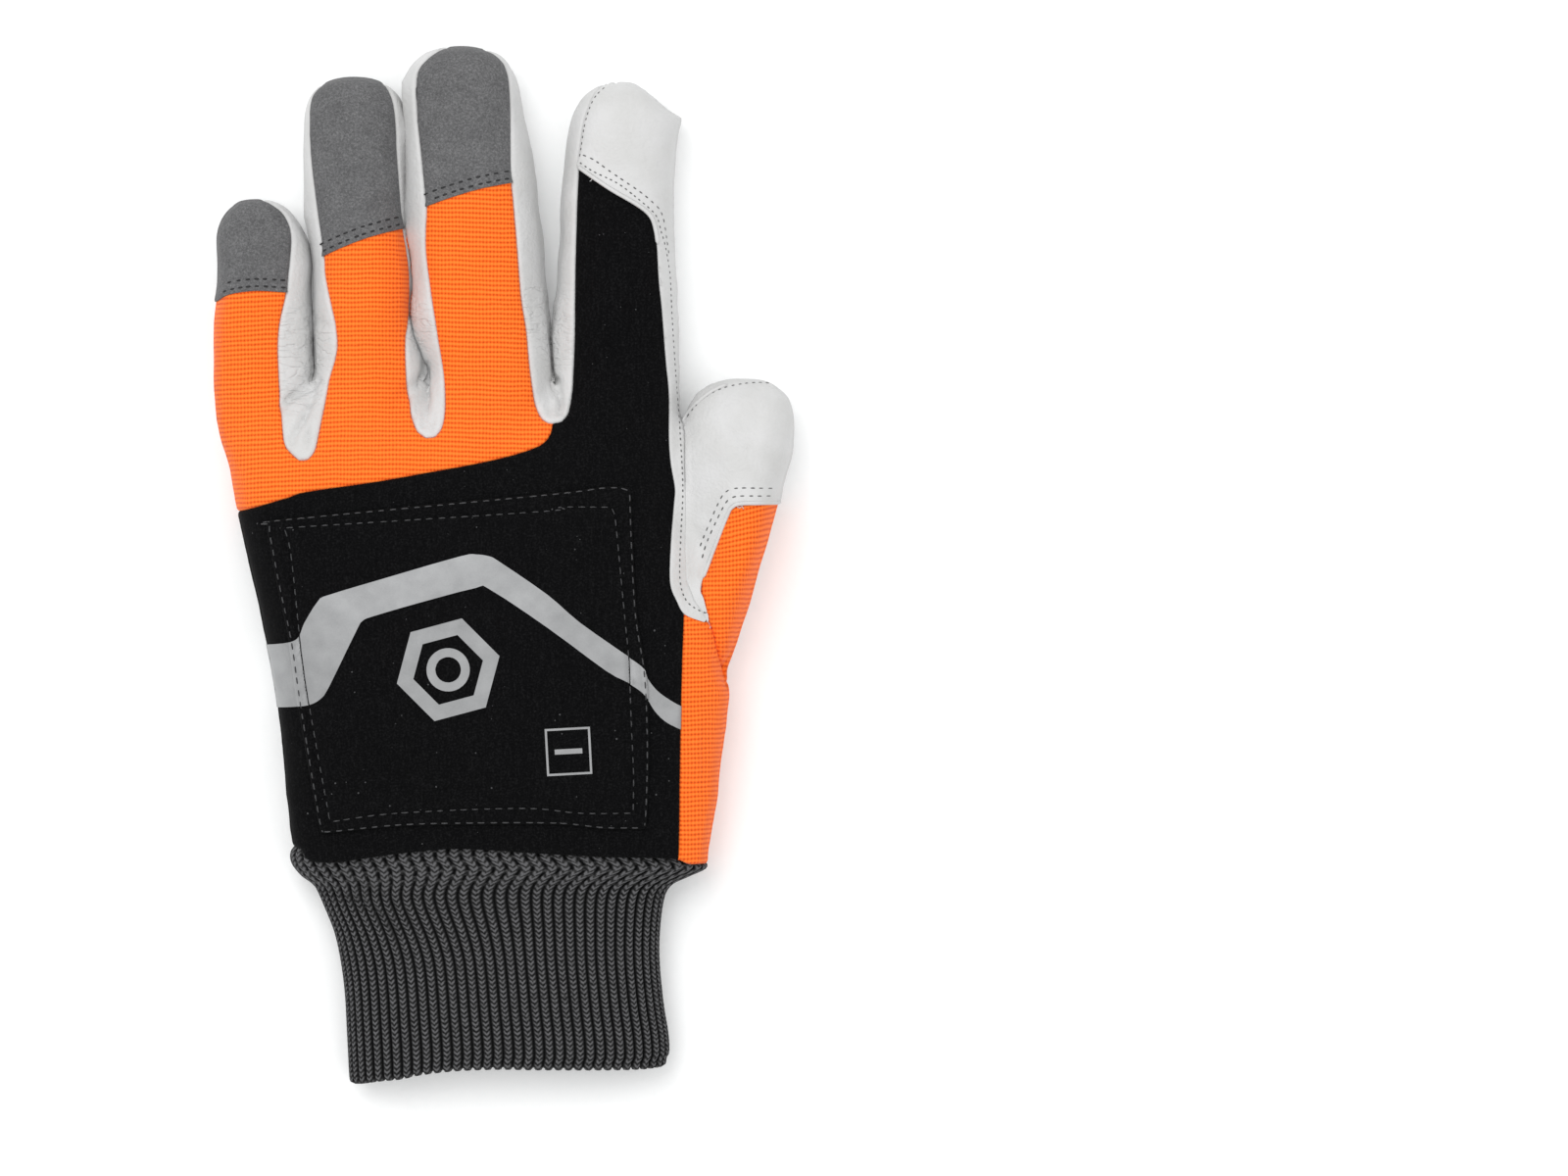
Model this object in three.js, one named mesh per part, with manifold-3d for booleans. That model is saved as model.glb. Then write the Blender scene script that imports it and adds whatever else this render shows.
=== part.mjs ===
// A left-hand chainsaw glove, lying palm down with the back of the hand up.
// Millimetres. +Y runs from the cuff to the fingertips, +X to the thumb side, +Z up.
// The palm leather lies on z = 0.
// The glove is one hollow form: an outer form less an inner form, one for each thickness of cloth.
// Its panels are cut from that form along seam lines, which are drawn from above, and at the palm seam's height.
import * as THREE from 'three';
import { mergeVertices } from 'three/addons/utils/BufferGeometryUtils.js';
import Module from 'manifold-3d';

const wasm = await Module();
wasm.setup();

// Walls and clearances
const leatherWall = 1.4;
const stretchWall = 1.6;
const softshellWall = 2.2;
const suedeWall = 1.8;
const knitWall = 2.6;
const seamGap = 0.3;
const fingerGap = 0.8;
const palmSeamHeight = 3.4;

// Hand, from the wrist seam to the roots of the fingers
const handLength = 122;
const handHeight = 30;
const handWaist = 9;
const wristWidth = 107.5;
const wristHeight = 23;
const wristDrift = 14;
const knuckleHeight = 15;

// Fingers, from the root line to the tip
const fingerWaist = 7.5;
const fingerReach = 26;
const fingerTaper = 0.45;
const fingerTipFall = 0.82;
const fingerTipRound = 13;
const littleWidth = 25.6;
const littleTipWidth = 22.8;
const littleHeight = 20;
const littleLength = 48;
const ringWidth = 26.6;
const ringTipWidth = 26;
const ringHeight = 23;
const ringLength = 79.7;
const middleWidth = 35.6;
const middleTipWidth = 31;
const middleHeight = 24;
const middleLength = 87.5;
const indexWidth = 33.2;
const indexTipWidth = 28.6;
const indexHeight = 23;
const indexLength = 78.5;

// Slots of white leather between the fingers, how far each runs back past the root line
const littleSlotDepth = 20.6;
const middleSlotDepth = 14.6;
const indexSlotDepth = 10.8;

// Thumb, from its root beside the hand to its tip
const thumbStart = 45.6;
const thumbLength = 77.8;
const thumbWidth = 29.3;
const thumbHeight = 24;
const thumbWaist = 8.5;
const thumbTipRound = 12;

// Knitted cuff
const cuffLength = 58.5;
const cuffWidth = 83.4;
const cuffHeight = 15.5;
const cuffDrift = 2.4;
const ribCount = 66;
const ribDepth = 0.8;

// Saw protection pad, and the reflective tape that crosses it
const padThickness = 2.2;
const tapeThickness = 0.5;
const tapeWidth = 8.6;
const tapeSetback = 1.5;

// How square a section is: 2 is an ellipse, and more is squarer
const handSquareness = 3;
const fingerSquareness = 2.5;
const cuffSquareness = 2.6;
// The underside is pressed flat: its curve would reach this many waists down, and is cut off at the floor
const underPress = 1.3;
const handSides = 18;
const fingerSides = 9;
const thumbSides = 10;
const cuffSides = 26;
const underAngles = [-18, -43, -137, -162];

// drift: share of the wrist's drift to the thumb side. girth: 0 is the wrist's width, 1 the knuckles'.
// rise: 0 is the height at the nearer end, 1 the hand's full height.
const handRows = [
  { along: 0.00, drift: 1.00, girth: 0.00, rise: 0.00 },
  { along: 0.17, drift: 1.05, girth: 0.38, rise: 0.45 },
  { along: 0.26, drift: 1.07, girth: 0.60, rise: 0.65 },
  { along: 0.34, drift: 1.05, girth: 0.73, rise: 0.80 },
  { along: 0.50, drift: 0.72, girth: 0.68, rise: 1.00 },
  { along: 0.60, drift: 0.56, girth: 0.71, rise: 0.98 },
  { along: 0.70, drift: 0.39, girth: 0.72, rise: 0.94 },
  { along: 0.76, drift: 0.27, girth: 0.72, rise: 0.88 },
  { along: 0.85, drift: 0.15, girth: 0.84, rise: 0.74 },
  { along: 0.92, drift: 0.05, girth: 0.95, rise: 0.48 },
  { along: 1.00, drift: 0.00, girth: 0.97, rise: 0.00 },
];

// Each finger's back panel, in shares of the finger's length from its root and of its half width
const fingers = [
  {
    name: 'little', width: littleWidth, tipWidth: littleTipWidth, height: littleHeight, length: littleLength,
    lean: -1.1, tipSeam: { left: 0.43, right: 0.49 },
    panel: [
      { along: -0.26, left: -1.4, right: 0.41 },
      { along: -0.07, left: -1.4, right: 0.34 },
      { along: 0.24, left: -1.4, right: 0.34 },
      { along: 0.48, left: -1.4, right: 0.49 },
      { along: 0.65, left: -1.4, right: 0.66 },
      { along: 0.82, left: -1.4, right: 0.70 },
    ],
  },
  {
    name: 'ring', width: ringWidth, tipWidth: ringTipWidth, height: ringHeight, length: ringLength,
    lean: -1.9, tipSeam: { left: 0.41, right: 0.51 },
    panel: [
      { along: -0.10, left: -0.80, right: 0.90 },
      { along: 0.03, left: -0.62, right: 0.88 },
      { along: 0.13, left: -0.49, right: 0.90 },
      { along: 0.25, left: -0.58, right: 0.92 },
      { along: 0.45, left: -0.72, right: 0.90 },
      { along: 0.65, left: -0.82, right: 0.86 },
      { along: 0.86, left: -0.88, right: 0.79 },
    ],
  },
  {
    name: 'middle', width: middleWidth, tipWidth: middleTipWidth, height: middleHeight, length: middleLength,
    lean: -3.8, tipSeam: { left: 0.52, right: 0.59 },
    panel: [
      { along: -0.05, left: -0.60, right: 0.72 },
      { along: 0.16, left: -0.70, right: 0.67 },
      { along: 0.40, left: -0.72, right: 0.63 },
      { along: 0.60, left: -0.76, right: 0.66 },
      { along: 0.86, left: -0.83, right: 0.71 },
    ],
  },
  {
    name: 'index', width: indexWidth, tipWidth: indexTipWidth, height: indexHeight, length: indexLength,
    lean: 0.7, tipSeam: { left: 0.70, right: 0.55 },
    panel: [
      { along: -0.06, left: -0.72, right: 1.4 },
      { along: 0.07, left: -0.67, right: 1.4 },
      { along: 0.30, left: -0.72, right: 1.4 },
      { along: 0.55, left: -0.72, right: 1.4 },
      { along: 0.82, left: -0.74, right: 1.4 },
    ],
  },
];

// reach: how far the thumb's outer edge stands out from the hand, in thumb widths.
// tuck: how far its inner edge runs into the hand. Where it is 0, the thumb is free and lies beside the hand.
const thumbRows = [
  { along: 0.00, reach: -0.03, tuck: 0.50, rise: 0.80 },
  { along: 0.13, reach: 0.20, tuck: 0.48, rise: 0.95 },
  { along: 0.26, reach: 0.40, tuck: 0.34, rise: 1.00 },
  { along: 0.35, reach: 0.51, tuck: 0.00, rise: 1.00 },
  { along: 0.45, reach: 0.65, tuck: 0.00, rise: 1.00 },
  { along: 0.61, reach: 0.85, tuck: 0.00, rise: 1.00 },
  { along: 0.75, reach: 0.97, tuck: 0.00, rise: 0.96 },
  { along: 0.85, reach: 1.00, tuck: 0.00, rise: 0.92 },
];

// pinch: 0 is the wrist's size, 1 the cuff's own size
const cuffRows = [
  { along: 0.000, pinch: 0.00, drift: 0.0 },
  { along: 0.065, pinch: 0.06, drift: -0.2 },
  { along: 0.160, pinch: 0.62, drift: -0.7 },
  { along: 0.320, pinch: 0.87, drift: -0.3 },
  { along: 0.620, pinch: 1.00, drift: 0.4 },
  { along: 1.000, pinch: 1.00, drift: 1.0 },
];

// Seam lines on the back of the hand. across runs from -1 at the little finger's edge to 1 at the thumb's,
// along from 0 at the wrist seam to 1 at the root line.
const knuckleSeam = [
  { across: -1.30, along: 0.72 },
  { across: -0.98, along: 0.735 },
  { across: -0.68, along: 0.767 },
  { across: -0.17, along: 0.804 },
  { across: 0.14, along: 0.831 },
  { across: 0.34, along: 0.858 },
  { across: 0.42, along: 0.885 },
  { across: 0.44, along: 0.93 },
];
const guardSeamOnFinger = [
  { across: -1.40, along: 0.76 },
  { across: -0.72, along: 0.705 },
  { across: 0.60, along: 0.555 },
  { across: 0.69, along: 0.50 },
  { across: 0.77, along: 0.24 },
  { across: 0.81, along: 0.06 },
];
const guardSeamOnHand = [
  { across: 0.945, along: 0.90 },
  { across: 0.945, along: 0.75 },
  { across: 0.885, along: 0.66 },
  { across: 0.850, along: 0.575 },
  { across: 0.870, along: 0.53 },
  { across: 0.920, along: 0.502 },
  { across: 1.000, along: 0.490 },
  { across: 1.060, along: 0.500 },
];
const gussetSeam = [
  { across: 0.86, along: 0.56 },
  { across: 0.856, along: 0.45 },
  { across: 0.795, along: 0.31 },
  { across: 0.822, along: 0.17 },
  { across: 0.865, along: 0.02 },
  { across: 0.875, along: -0.10 },
];
const padOutline = [
  { across: -0.865, along: 0.695 },
  { across: -0.40, along: 0.728 },
  { across: 0.735, along: 0.770 },
  { across: 0.685, along: 0.510 },
  { across: 0.655, along: 0.380 },
  { across: 0.665, along: 0.055 },
  { across: -0.82, along: 0.045 },
  { across: -0.88, along: 0.320 },
];
// The tape's middle line; wide is a share of the tape's width
const tapeLine = [
  { across: -1.10, along: 0.376, wide: 1.85 },
  { across: -0.86, along: 0.385, wide: 1.85 },
  { across: -0.66, along: 0.500, wide: 1.45 },
  { across: -0.55, along: 0.530, wide: 1.15 },
  { across: -0.05, along: 0.594, wide: 1.00 },
  { across: 0.06, along: 0.596, wide: 1.00 },
  { across: 0.30, along: 0.508, wide: 0.80 },
  { across: 0.58, along: 0.397, wide: 0.68 },
  { across: 0.66, along: 0.352, wide: 0.55 },
  { across: 0.77, along: 0.289, wide: 0.50 },
  { across: 0.88, along: 0.240, wide: 0.50 },
];
const thumbBackSeam = [
  { reach: 1.40, along: 0.58 },
  { reach: 0.42, along: 0.572 },
  { reach: 0.06, along: 0.37 },
  { reach: -0.01, along: 0.30 },
];
const thumbPalmSeam = [
  { across: 0.99, along: 0.62 },
  { across: 0.86, along: 0.54 },
  { across: 0.80, along: 0.44 },
  { across: 0.86, along: 0.34 },
  { across: 1.10, along: 0.29 },
];

const clamp = THREE.MathUtils.clamp;
const mix = THREE.MathUtils.lerp;

// Value of one column of a table at a place along it, straight between rows
function column(rows, along, name) {
  const last = rows.length - 1;
  if (along <= rows[0].along) return rows[0][name];
  if (along >= rows[last].along) return rows[last][name];
  const upper = rows.findIndex((row) => row.along >= along);
  const a = rows[upper - 1];
  const b = rows[upper];
  return mix(a[name], b[name], (along - a.along) / (b.along - a.along));
}

// Fingers stand side by side across the knuckles
const knuckleWidth = littleWidth + ringWidth + middleWidth + indexWidth + 3 * fingerGap;
let edge = -knuckleWidth / 2;
for (const finger of fingers) {
  finger.rootX = edge + finger.width / 2;
  edge += finger.width + fingerGap;
}

// The hand's middle, half width and height at a place along it
function handAt(along) {
  const inside = clamp(along, 0, 1);
  const girth = column(handRows, inside, 'girth');
  const rise = column(handRows, inside, 'rise');
  const end = inside < 0.5 ? wristHeight : knuckleHeight;
  return {
    y: along * handLength,
    middle: wristDrift * column(handRows, inside, 'drift'),
    half: mix(wristWidth, knuckleWidth, girth) / 2,
    height: mix(end, handHeight, rise),
    waist: handWaist,
    squareness: handSquareness,
  };
}

function handEdge(y) {
  const hand = handAt(y / handLength);
  return hand.middle + hand.half;
}

function onHand({ across, along }) {
  const hand = handAt(along);
  return new THREE.Vector2(hand.middle + across * hand.half, hand.y);
}

function fingerMiddle(finger, distance) {
  return finger.rootX + distance * Math.tan(THREE.MathUtils.degToRad(finger.lean));
}

function onFinger(finger, across, along) {
  const half = mix(finger.width, finger.tipWidth, clamp(along, 0, 1)) / 2;
  const distance = along * finger.length;
  return new THREE.Vector2(fingerMiddle(finger, distance) + across * half, handLength + distance);
}

function onThumb({ reach, along }) {
  const y = thumbStart + along * thumbLength;
  return new THREE.Vector2(handEdge(y) + reach * thumbWidth, y);
}

// One closed ring of a loft, in the plane of its own y. inset moves it inwards from the outer form by a wall.
// The arch over the waist has this many sides, and the flat underside only its corners.
function sectionRing(station, inset, sides) {
  const { y, middle, half, height, waist, squareness, round = 1 } = station;
  const power = 2 / squareness;
  const curve = (value) => Math.sign(value) * Math.abs(value) ** power;
  const over = height - waist - inset;
  const under = waist * underPress - inset;
  const arch = Array.from({ length: sides + 1 }, (_, i) => (180 * i) / sides);
  return [...arch, ...underAngles.toReversed()].map((degrees) => {
    const angle = THREE.MathUtils.degToRad(degrees);
    const up = curve(Math.sin(angle));
    const x = middle + (half - inset) * round * curve(Math.cos(angle));
    const z = waist + (up > 0 ? over : under) * round * up;
    return new THREE.Vector3(x, y, Math.max(z, inset));
  });
}

// Closed solid through rings of equal length that follow each other along +Y
function loft(rings) {
  const sides = rings[0].length;
  const positions = rings.flat().flatMap((point) => [point.x, point.y, point.z]);
  const triangles = [];
  for (let row = 0; row + 1 < rings.length; row += 1) {
    for (let i = 0; i < sides; i += 1) {
      const a = row * sides + i;
      const b = row * sides + ((i + 1) % sides);
      triangles.push(a, a + sides, b, b, a + sides, b + sides);
    }
  }
  const capAt = (row, facesBack) => {
    const centre = positions.length / 3;
    const sum = rings[row].reduce((total, point) => total.add(point), new THREE.Vector3());
    positions.push(...sum.divideScalar(sides).toArray());
    for (let i = 0; i < sides; i += 1) {
      const a = row * sides + i;
      const b = row * sides + ((i + 1) % sides);
      triangles.push(...(facesBack ? [centre, a, b] : [centre, b, a]));
    }
  };
  capAt(0, true);
  capAt(rings.length - 1, false);
  return new wasm.Manifold(new wasm.Mesh({
    numProp: 3,
    vertProperties: new Float32Array(positions),
    triVerts: new Uint32Array(triangles),
  }));
}

// Upright prism over an outline drawn from above
function prism(outline, low = -handHeight, high = handHeight * 2) {
  const geometry = new THREE.ExtrudeGeometry(new THREE.Shape(outline), {
    depth: high - low,
    bevelEnabled: false,
  });
  geometry.translate(0, 0, low);
  geometry.deleteAttribute('normal');
  geometry.deleteAttribute('uv');
  const merged = mergeVertices(geometry, 1e-3);
  return new wasm.Manifold(new wasm.Mesh({
    numProp: 3,
    vertProperties: new Float32Array(merged.attributes.position.array),
    triVerts: new Uint32Array(merged.index.array),
  }));
}

// The outline moved outwards all round, or inwards if the distance is negative
function grow(outline, distance) {
  const out = THREE.ShapeUtils.area(outline) > 0 ? 1 : -1;
  return outline.map((point, i) => {
    const before = outline[(i + outline.length - 1) % outline.length];
    const after = outline[(i + 1) % outline.length];
    const into = point.clone().sub(before).normalize();
    const onward = after.clone().sub(point).normalize();
    const bisector = into.clone().add(onward).normalize();
    const normal = new THREE.Vector2(bisector.y, -bisector.x).multiplyScalar(out);
    const stretch = 1 / Math.max(0.4, bisector.dot(onward));
    return point.clone().addScaledVector(normal, distance * stretch);
  });
}

const smooth = (points, steps) => new THREE.SplineCurve(points).getPoints(steps);

// Rounds the end of a finger or thumb: stations over the last stretch shrink towards the waist
function tipStations(last, start, end, middleAt) {
  return [0.35, 0.65, 0.87, 0.985].map((share) => ({
    ...last,
    y: mix(start, end, share),
    middle: middleAt(mix(start, end, share)),
    round: (1 - share ** 2.4) ** (1 / 2.4),
  }));
}

function fingerForm(finger, inset) {
  const station = (distance) => {
    const along = clamp(distance / finger.length, 0, 1);
    const behind = clamp(-distance / fingerReach, 0, 1);
    return {
      y: handLength + distance,
      middle: fingerMiddle(finger, distance),
      half: (mix(finger.width, finger.tipWidth, along) / 2) * (1 - fingerTaper * behind ** 2),
      height: finger.height * mix(1, fingerTipFall, along) * (1 - fingerTaper * behind ** 2),
      waist: fingerWaist,
      squareness: fingerSquareness,
    };
  };
  const roundStart = finger.length - fingerTipRound;
  const inHand = [1, 0.7, 0.35].map((share) => -share * fingerReach);
  const straight = [...inHand, 0, roundStart * 0.5, roundStart].map(station);
  const middleAt = (y) => fingerMiddle(finger, y - handLength);
  const end = handLength + finger.length - inset;
  const tip = tipStations(straight.at(-1), handLength + roundStart, end, middleAt);
  return loft([...straight, ...tip].map((row) => sectionRing(row, inset, fingerSides)));
}

function thumbForm(inset) {
  const station = (along) => {
    const y = thumbStart + along * thumbLength;
    const tuck = column(thumbRows, along, 'tuck');
    const inner = handEdge(y) + (tuck > 0 ? -tuck * thumbWidth : fingerGap);
    const outer = handEdge(y) + column(thumbRows, along, 'reach') * thumbWidth;
    return {
      y,
      middle: (inner + outer) / 2,
      half: (outer - inner) / 2,
      height: thumbHeight * column(thumbRows, along, 'rise'),
      waist: thumbWaist,
      squareness: fingerSquareness,
    };
  };
  const roundShare = thumbTipRound / thumbLength;
  const straight = thumbRows.map((row) => station(Math.min(row.along, 1 - roundShare)));
  const last = straight.at(-1);
  const end = thumbStart + thumbLength - inset;
  const tip = tipStations(last, last.y, end, () => last.middle);
  return loft([...straight, ...tip].map((row) => sectionRing(row, inset, thumbSides)));
}

// The hand alone; an inner form runs out past the wrist so that the wrist is open
function handForm(inset) {
  const rings = handRows.map((row) => {
    const station = handAt(row.along);
    station.y = Math.min(station.y, handLength - Math.max(inset, 0));
    return sectionRing(station, inset, handSides);
  });
  if (inset > 0) rings[0].forEach((point) => point.setY(-1));
  return loft(rings);
}

function gloveForm(inset) {
  const parts = [handForm(inset), thumbForm(inset), ...fingers.map((finger) => fingerForm(finger, inset))];
  return wasm.Manifold.union(parts);
}

const outerForm = gloveForm(0);
// A square around the whole glove
const far = 2 * (handLength + middleLength);
const everywhere = [
  new THREE.Vector2(-far, -far),
  new THREE.Vector2(far, -far),
  new THREE.Vector2(far, far),
  new THREE.Vector2(-far, far),
];
const upperHalf = prism(everywhere, palmSeamHeight + seamGap / 2, far);
const lowerHalf = prism(everywhere, -far, palmSeamHeight - seamGap / 2);

const shells = new Map();
function shell(wall) {
  if (!shells.has(wall)) shells.set(wall, outerForm.subtract(gloveForm(wall)));
  return shells.get(wall);
}

// The slot between two fingers: down one back panel's edge, round its end, up the next panel's edge
function slotOutline(near, next, depth) {
  const down = near.panel.map((row) => onFinger(near, row.right, row.along)).reverse();
  const up = next.panel.map((row) => onFinger(next, row.left, row.along));
  const bottomX = mix(down.at(-1).x, up[0].x, 0.52);
  const bottom = new THREE.Vector2(bottomX, handLength - depth);
  const nearTip = [1.03, 0.995, 0.955].map((along, i) => onFinger(near, [0, 0.32, 0.58][i], along));
  const nextTip = [0.955, 0.995, 1.03].map((along, i) => onFinger(next, [-0.64, -0.36, 0][i], along));
  const line = [...nearTip, ...down, bottom, ...up, ...nextTip];
  const curve = smooth(line, Math.round(line.length * 1.4));
  const beyond = handLength + middleLength * 1.3;
  return [...curve, new THREE.Vector2(line.at(-1).x, beyond), new THREE.Vector2(line[0].x, beyond)];
}

const [little, ring, middle, index] = fingers;
const slots = [
  { name: 'fourchette_little_ring', outline: slotOutline(little, ring, littleSlotDepth) },
  { name: 'fourchette_ring_middle', outline: slotOutline(ring, middle, middleSlotDepth) },
  { name: 'fourchette_middle_index', outline: slotOutline(middle, index, indexSlotDepth) },
];

// Everything past a slanted line across a fingertip
function tipOutline(finger) {
  const { left, right } = finger.tipSeam;
  return [
    onFinger(finger, -1.03, left),
    onFinger(finger, 0, (left + right) / 2 - 0.01),
    onFinger(finger, 1.03, right),
    onFinger(finger, 1.03, 1.3),
    onFinger(finger, -1.03, 1.3),
  ];
}

// The index finger's cap, and the strip that runs from it down the edge of the hand to the thumb's web
function guardOutline() {
  const onIndex = guardSeamOnFinger.map((row) => onFinger(index, row.across, row.along));
  const seam = smooth([...onIndex, ...guardSeamOnHand.map(onHand)], 20);
  const freeSide = [0.55, 0.65, 0.75, 0.85, 0.95, 1.05].map((along) => {
    const y = along * handLength;
    return new THREE.Vector2(handEdge(y) + fingerGap / 2, y);
  });
  const tip = [onFinger(index, 1.6, 0.1), onFinger(index, 1.6, 1.3), onFinger(index, -1.4, 1.3)];
  return [...seam, ...freeSide, ...tip];
}

function thumbCapOutline() {
  const freeSide = [0.385, 0.5, 0.65, 0.8, 1.0].map((along) => {
    const y = thumbStart + along * thumbLength;
    return new THREE.Vector2(handEdge(y) + fingerGap / 2, y);
  });
  const top = [onThumb({ reach: 0, along: 1.3 }), onThumb({ reach: 1.4, along: 1.3 })];
  return [...freeSide, ...top, ...thumbBackSeam.map(onThumb)];
}

function thumbBackOutline() {
  const crease = [onHand({ across: 1.1, along: 0.36 }), onHand({ across: 0.99, along: 0.385 })];
  return [
    onThumb({ reach: 1.4, along: 1 }),
    onThumb({ reach: 0.3, along: 1 }),
    onHand({ across: 1.0, along: 0.60 }),
    onHand({ across: 0.96, along: 0.49 }),
    ...crease.reverse(),
    onThumb({ reach: 1.4, along: -0.2 }),
  ];
}

function gussetOutline() {
  const seam = smooth(gussetSeam.map(onHand), 8);
  return [...seam, onHand({ across: 1.5, along: -0.10 }), onHand({ across: 1.5, along: 0.56 })];
}

function backOutline() {
  const seam = smooth(knuckleSeam.map(onHand), 14);
  return [
    onHand({ across: -1.3, along: -0.1 }),
    onHand({ across: 1.3, along: -0.1 }),
    onFinger(index, 1.6, 0),
    onFinger(index, 1.6, 1.3),
    onFinger(index, -1.1, 1.3),
    onFinger(index, -1.0, 0),
    ...seam.reverse(),
  ];
}

// Panels of the upper side, cut in this order: each one leaves out what the ones before it took
const upperPanels = [
  ...slots.map(({ name, outline }) => ({ name, outline, wall: leatherWall })),
  { name: 'index_guard', outline: guardOutline(), wall: leatherWall },
  { name: 'fingertip_little', outline: tipOutline(little), wall: suedeWall },
  { name: 'fingertip_ring', outline: tipOutline(ring), wall: suedeWall },
  { name: 'fingertip_middle', outline: tipOutline(middle), wall: suedeWall },
  { name: 'thumb_cap', outline: thumbCapOutline(), wall: leatherWall },
  { name: 'thumb_back', outline: thumbBackOutline(), wall: stretchWall },
  { name: 'side_gusset', outline: gussetOutline(), wall: stretchWall },
  { name: 'hand_back', outline: backOutline(), wall: softshellWall },
  { name: 'knuckle_panel', outline: everywhere, wall: stretchWall },
];

const largest = (solid) => solid.decompose().reduce((a, b) => (b.volume() > a.volume() ? b : a));

const solids = new Map();
let taken = null;
for (const { name, outline, wall } of upperPanels) {
  let solid = shell(wall).intersect(upperHalf).intersect(prism(outline));
  if (taken) solid = solid.subtract(taken);
  solids.set(name, largest(solid));
  const claim = prism(grow(outline, seamGap));
  taken = taken ? taken.add(claim) : claim;
}

// The palm side: one sheet of leather under the hand and fingers, and the thumb's own leather
function thumbPalmOutline() {
  const freeSide = [1.0, 0.9, 0.8, 0.7, 0.62].map((along) => {
    const y = along * handLength;
    return new THREE.Vector2(handEdge(y) + fingerGap / 2, y);
  });
  const seam = smooth(thumbPalmSeam.map(onHand), 9);
  const around = [
    onThumb({ reach: 1.4, along: -0.3 }),
    onThumb({ reach: 1.4, along: 1.3 }),
    onThumb({ reach: 0, along: 1.3 }),
  ];
  return [...freeSide, ...seam.slice(1), ...around];
}
const palmSide = shell(leatherWall).intersect(lowerHalf);
solids.set('thumb_palm', largest(palmSide.intersect(prism(thumbPalmOutline()))));
solids.set('palm', largest(palmSide.subtract(prism(grow(thumbPalmOutline(), seamGap)))));

// The pad lies on the back of the hand, and the tape on both
function layer(bottom, thickness) {
  return handForm(-(bottom + thickness)).subtract(handForm(-bottom)).intersect(upperHalf);
}

function tapeOutline() {
  const middleLine = tapeLine.map(onHand);
  const sideAt = (i, side) => {
    const before = middleLine[Math.max(i - 1, 0)];
    const after = middleLine[Math.min(i + 1, middleLine.length - 1)];
    const direction = after.clone().sub(before).normalize();
    const normal = new THREE.Vector2(-direction.y, direction.x);
    return middleLine[i].clone().addScaledVector(normal, (side * tapeWidth * tapeLine[i].wide) / 2);
  };
  const upper = middleLine.map((point, i) => sideAt(i, 1));
  const lower = middleLine.map((point, i) => sideAt(i, -1));
  return [...upper, ...lower.reverse()];
}

const pad = padOutline.map(onHand);
const tape = prism(tapeOutline());
const padTop = seamGap + padThickness;
solids.set('saw_pad', largest(layer(seamGap, padThickness).intersect(prism(pad))));
const tapeArea = tape.intersect(prism(grow(pad, -tapeSetback)));
solids.set('tape_on_pad', largest(layer(padTop + seamGap, tapeThickness).intersect(tapeArea)));
const backArea = prism(backOutline()).subtract(prism(grow(gussetOutline(), seamGap)));
const offPadArea = tape.intersect(backArea).subtract(prism(grow(pad, seamGap)));
const offPad = layer(seamGap, tapeThickness).intersect(offPadArea).decompose();
const sideTapes = offPad.sort((a, b) => b.volume() - a.volume()).slice(0, 2);
const [leftTape, rightTape] = sideTapes.sort((a, b) => a.boundingBox().min[0] - b.boundingBox().min[0]);
solids.set('tape_little_side', leftTape);
solids.set('tape_thumb_side', rightTape);

// The ring's points, set at equal distances around it
function evenly(ring, count) {
  const around = new THREE.CurvePath();
  ring.forEach((point, i) => around.add(new THREE.LineCurve3(point, ring[(i + 1) % ring.length])));
  return around.getSpacedPoints(count).slice(0, count);
}

// The cuff: a ribbed tube, open at both ends, sewn to the wrist edge
function cuffForm(inset, ribbed) {
  const rings = cuffRows.map((row) => {
    const wrist = handAt(0);
    const station = {
      ...wrist,
      y: -seamGap - row.along * cuffLength,
      middle: wrist.middle + cuffDrift * row.drift,
      half: mix(wrist.half, cuffWidth / 2, row.pinch),
      height: mix(wristHeight, cuffHeight, row.pinch),
      waist: mix(wrist.waist, cuffHeight / 2, row.pinch),
      squareness: cuffSquareness,
    };
    const plain = sectionRing(station, inset, cuffSides);
    if (!ribbed) return plain;
    const peaks = evenly(plain, ribCount * 2);
    const valleys = evenly(sectionRing(station, inset + ribDepth, cuffSides), ribCount * 2);
    return peaks.map((point, i) => (i % 2 ? valleys[i] : point));
  });
  if (!ribbed) {
    rings[0].forEach((point) => point.setY(1));
    rings.at(-1).forEach((point) => point.setY(-cuffLength - 2));
  }
  return loft(rings.reverse());
}
solids.set('knit_cuff', largest(cuffForm(0, true).subtract(cuffForm(knitWall, false))));

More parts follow.
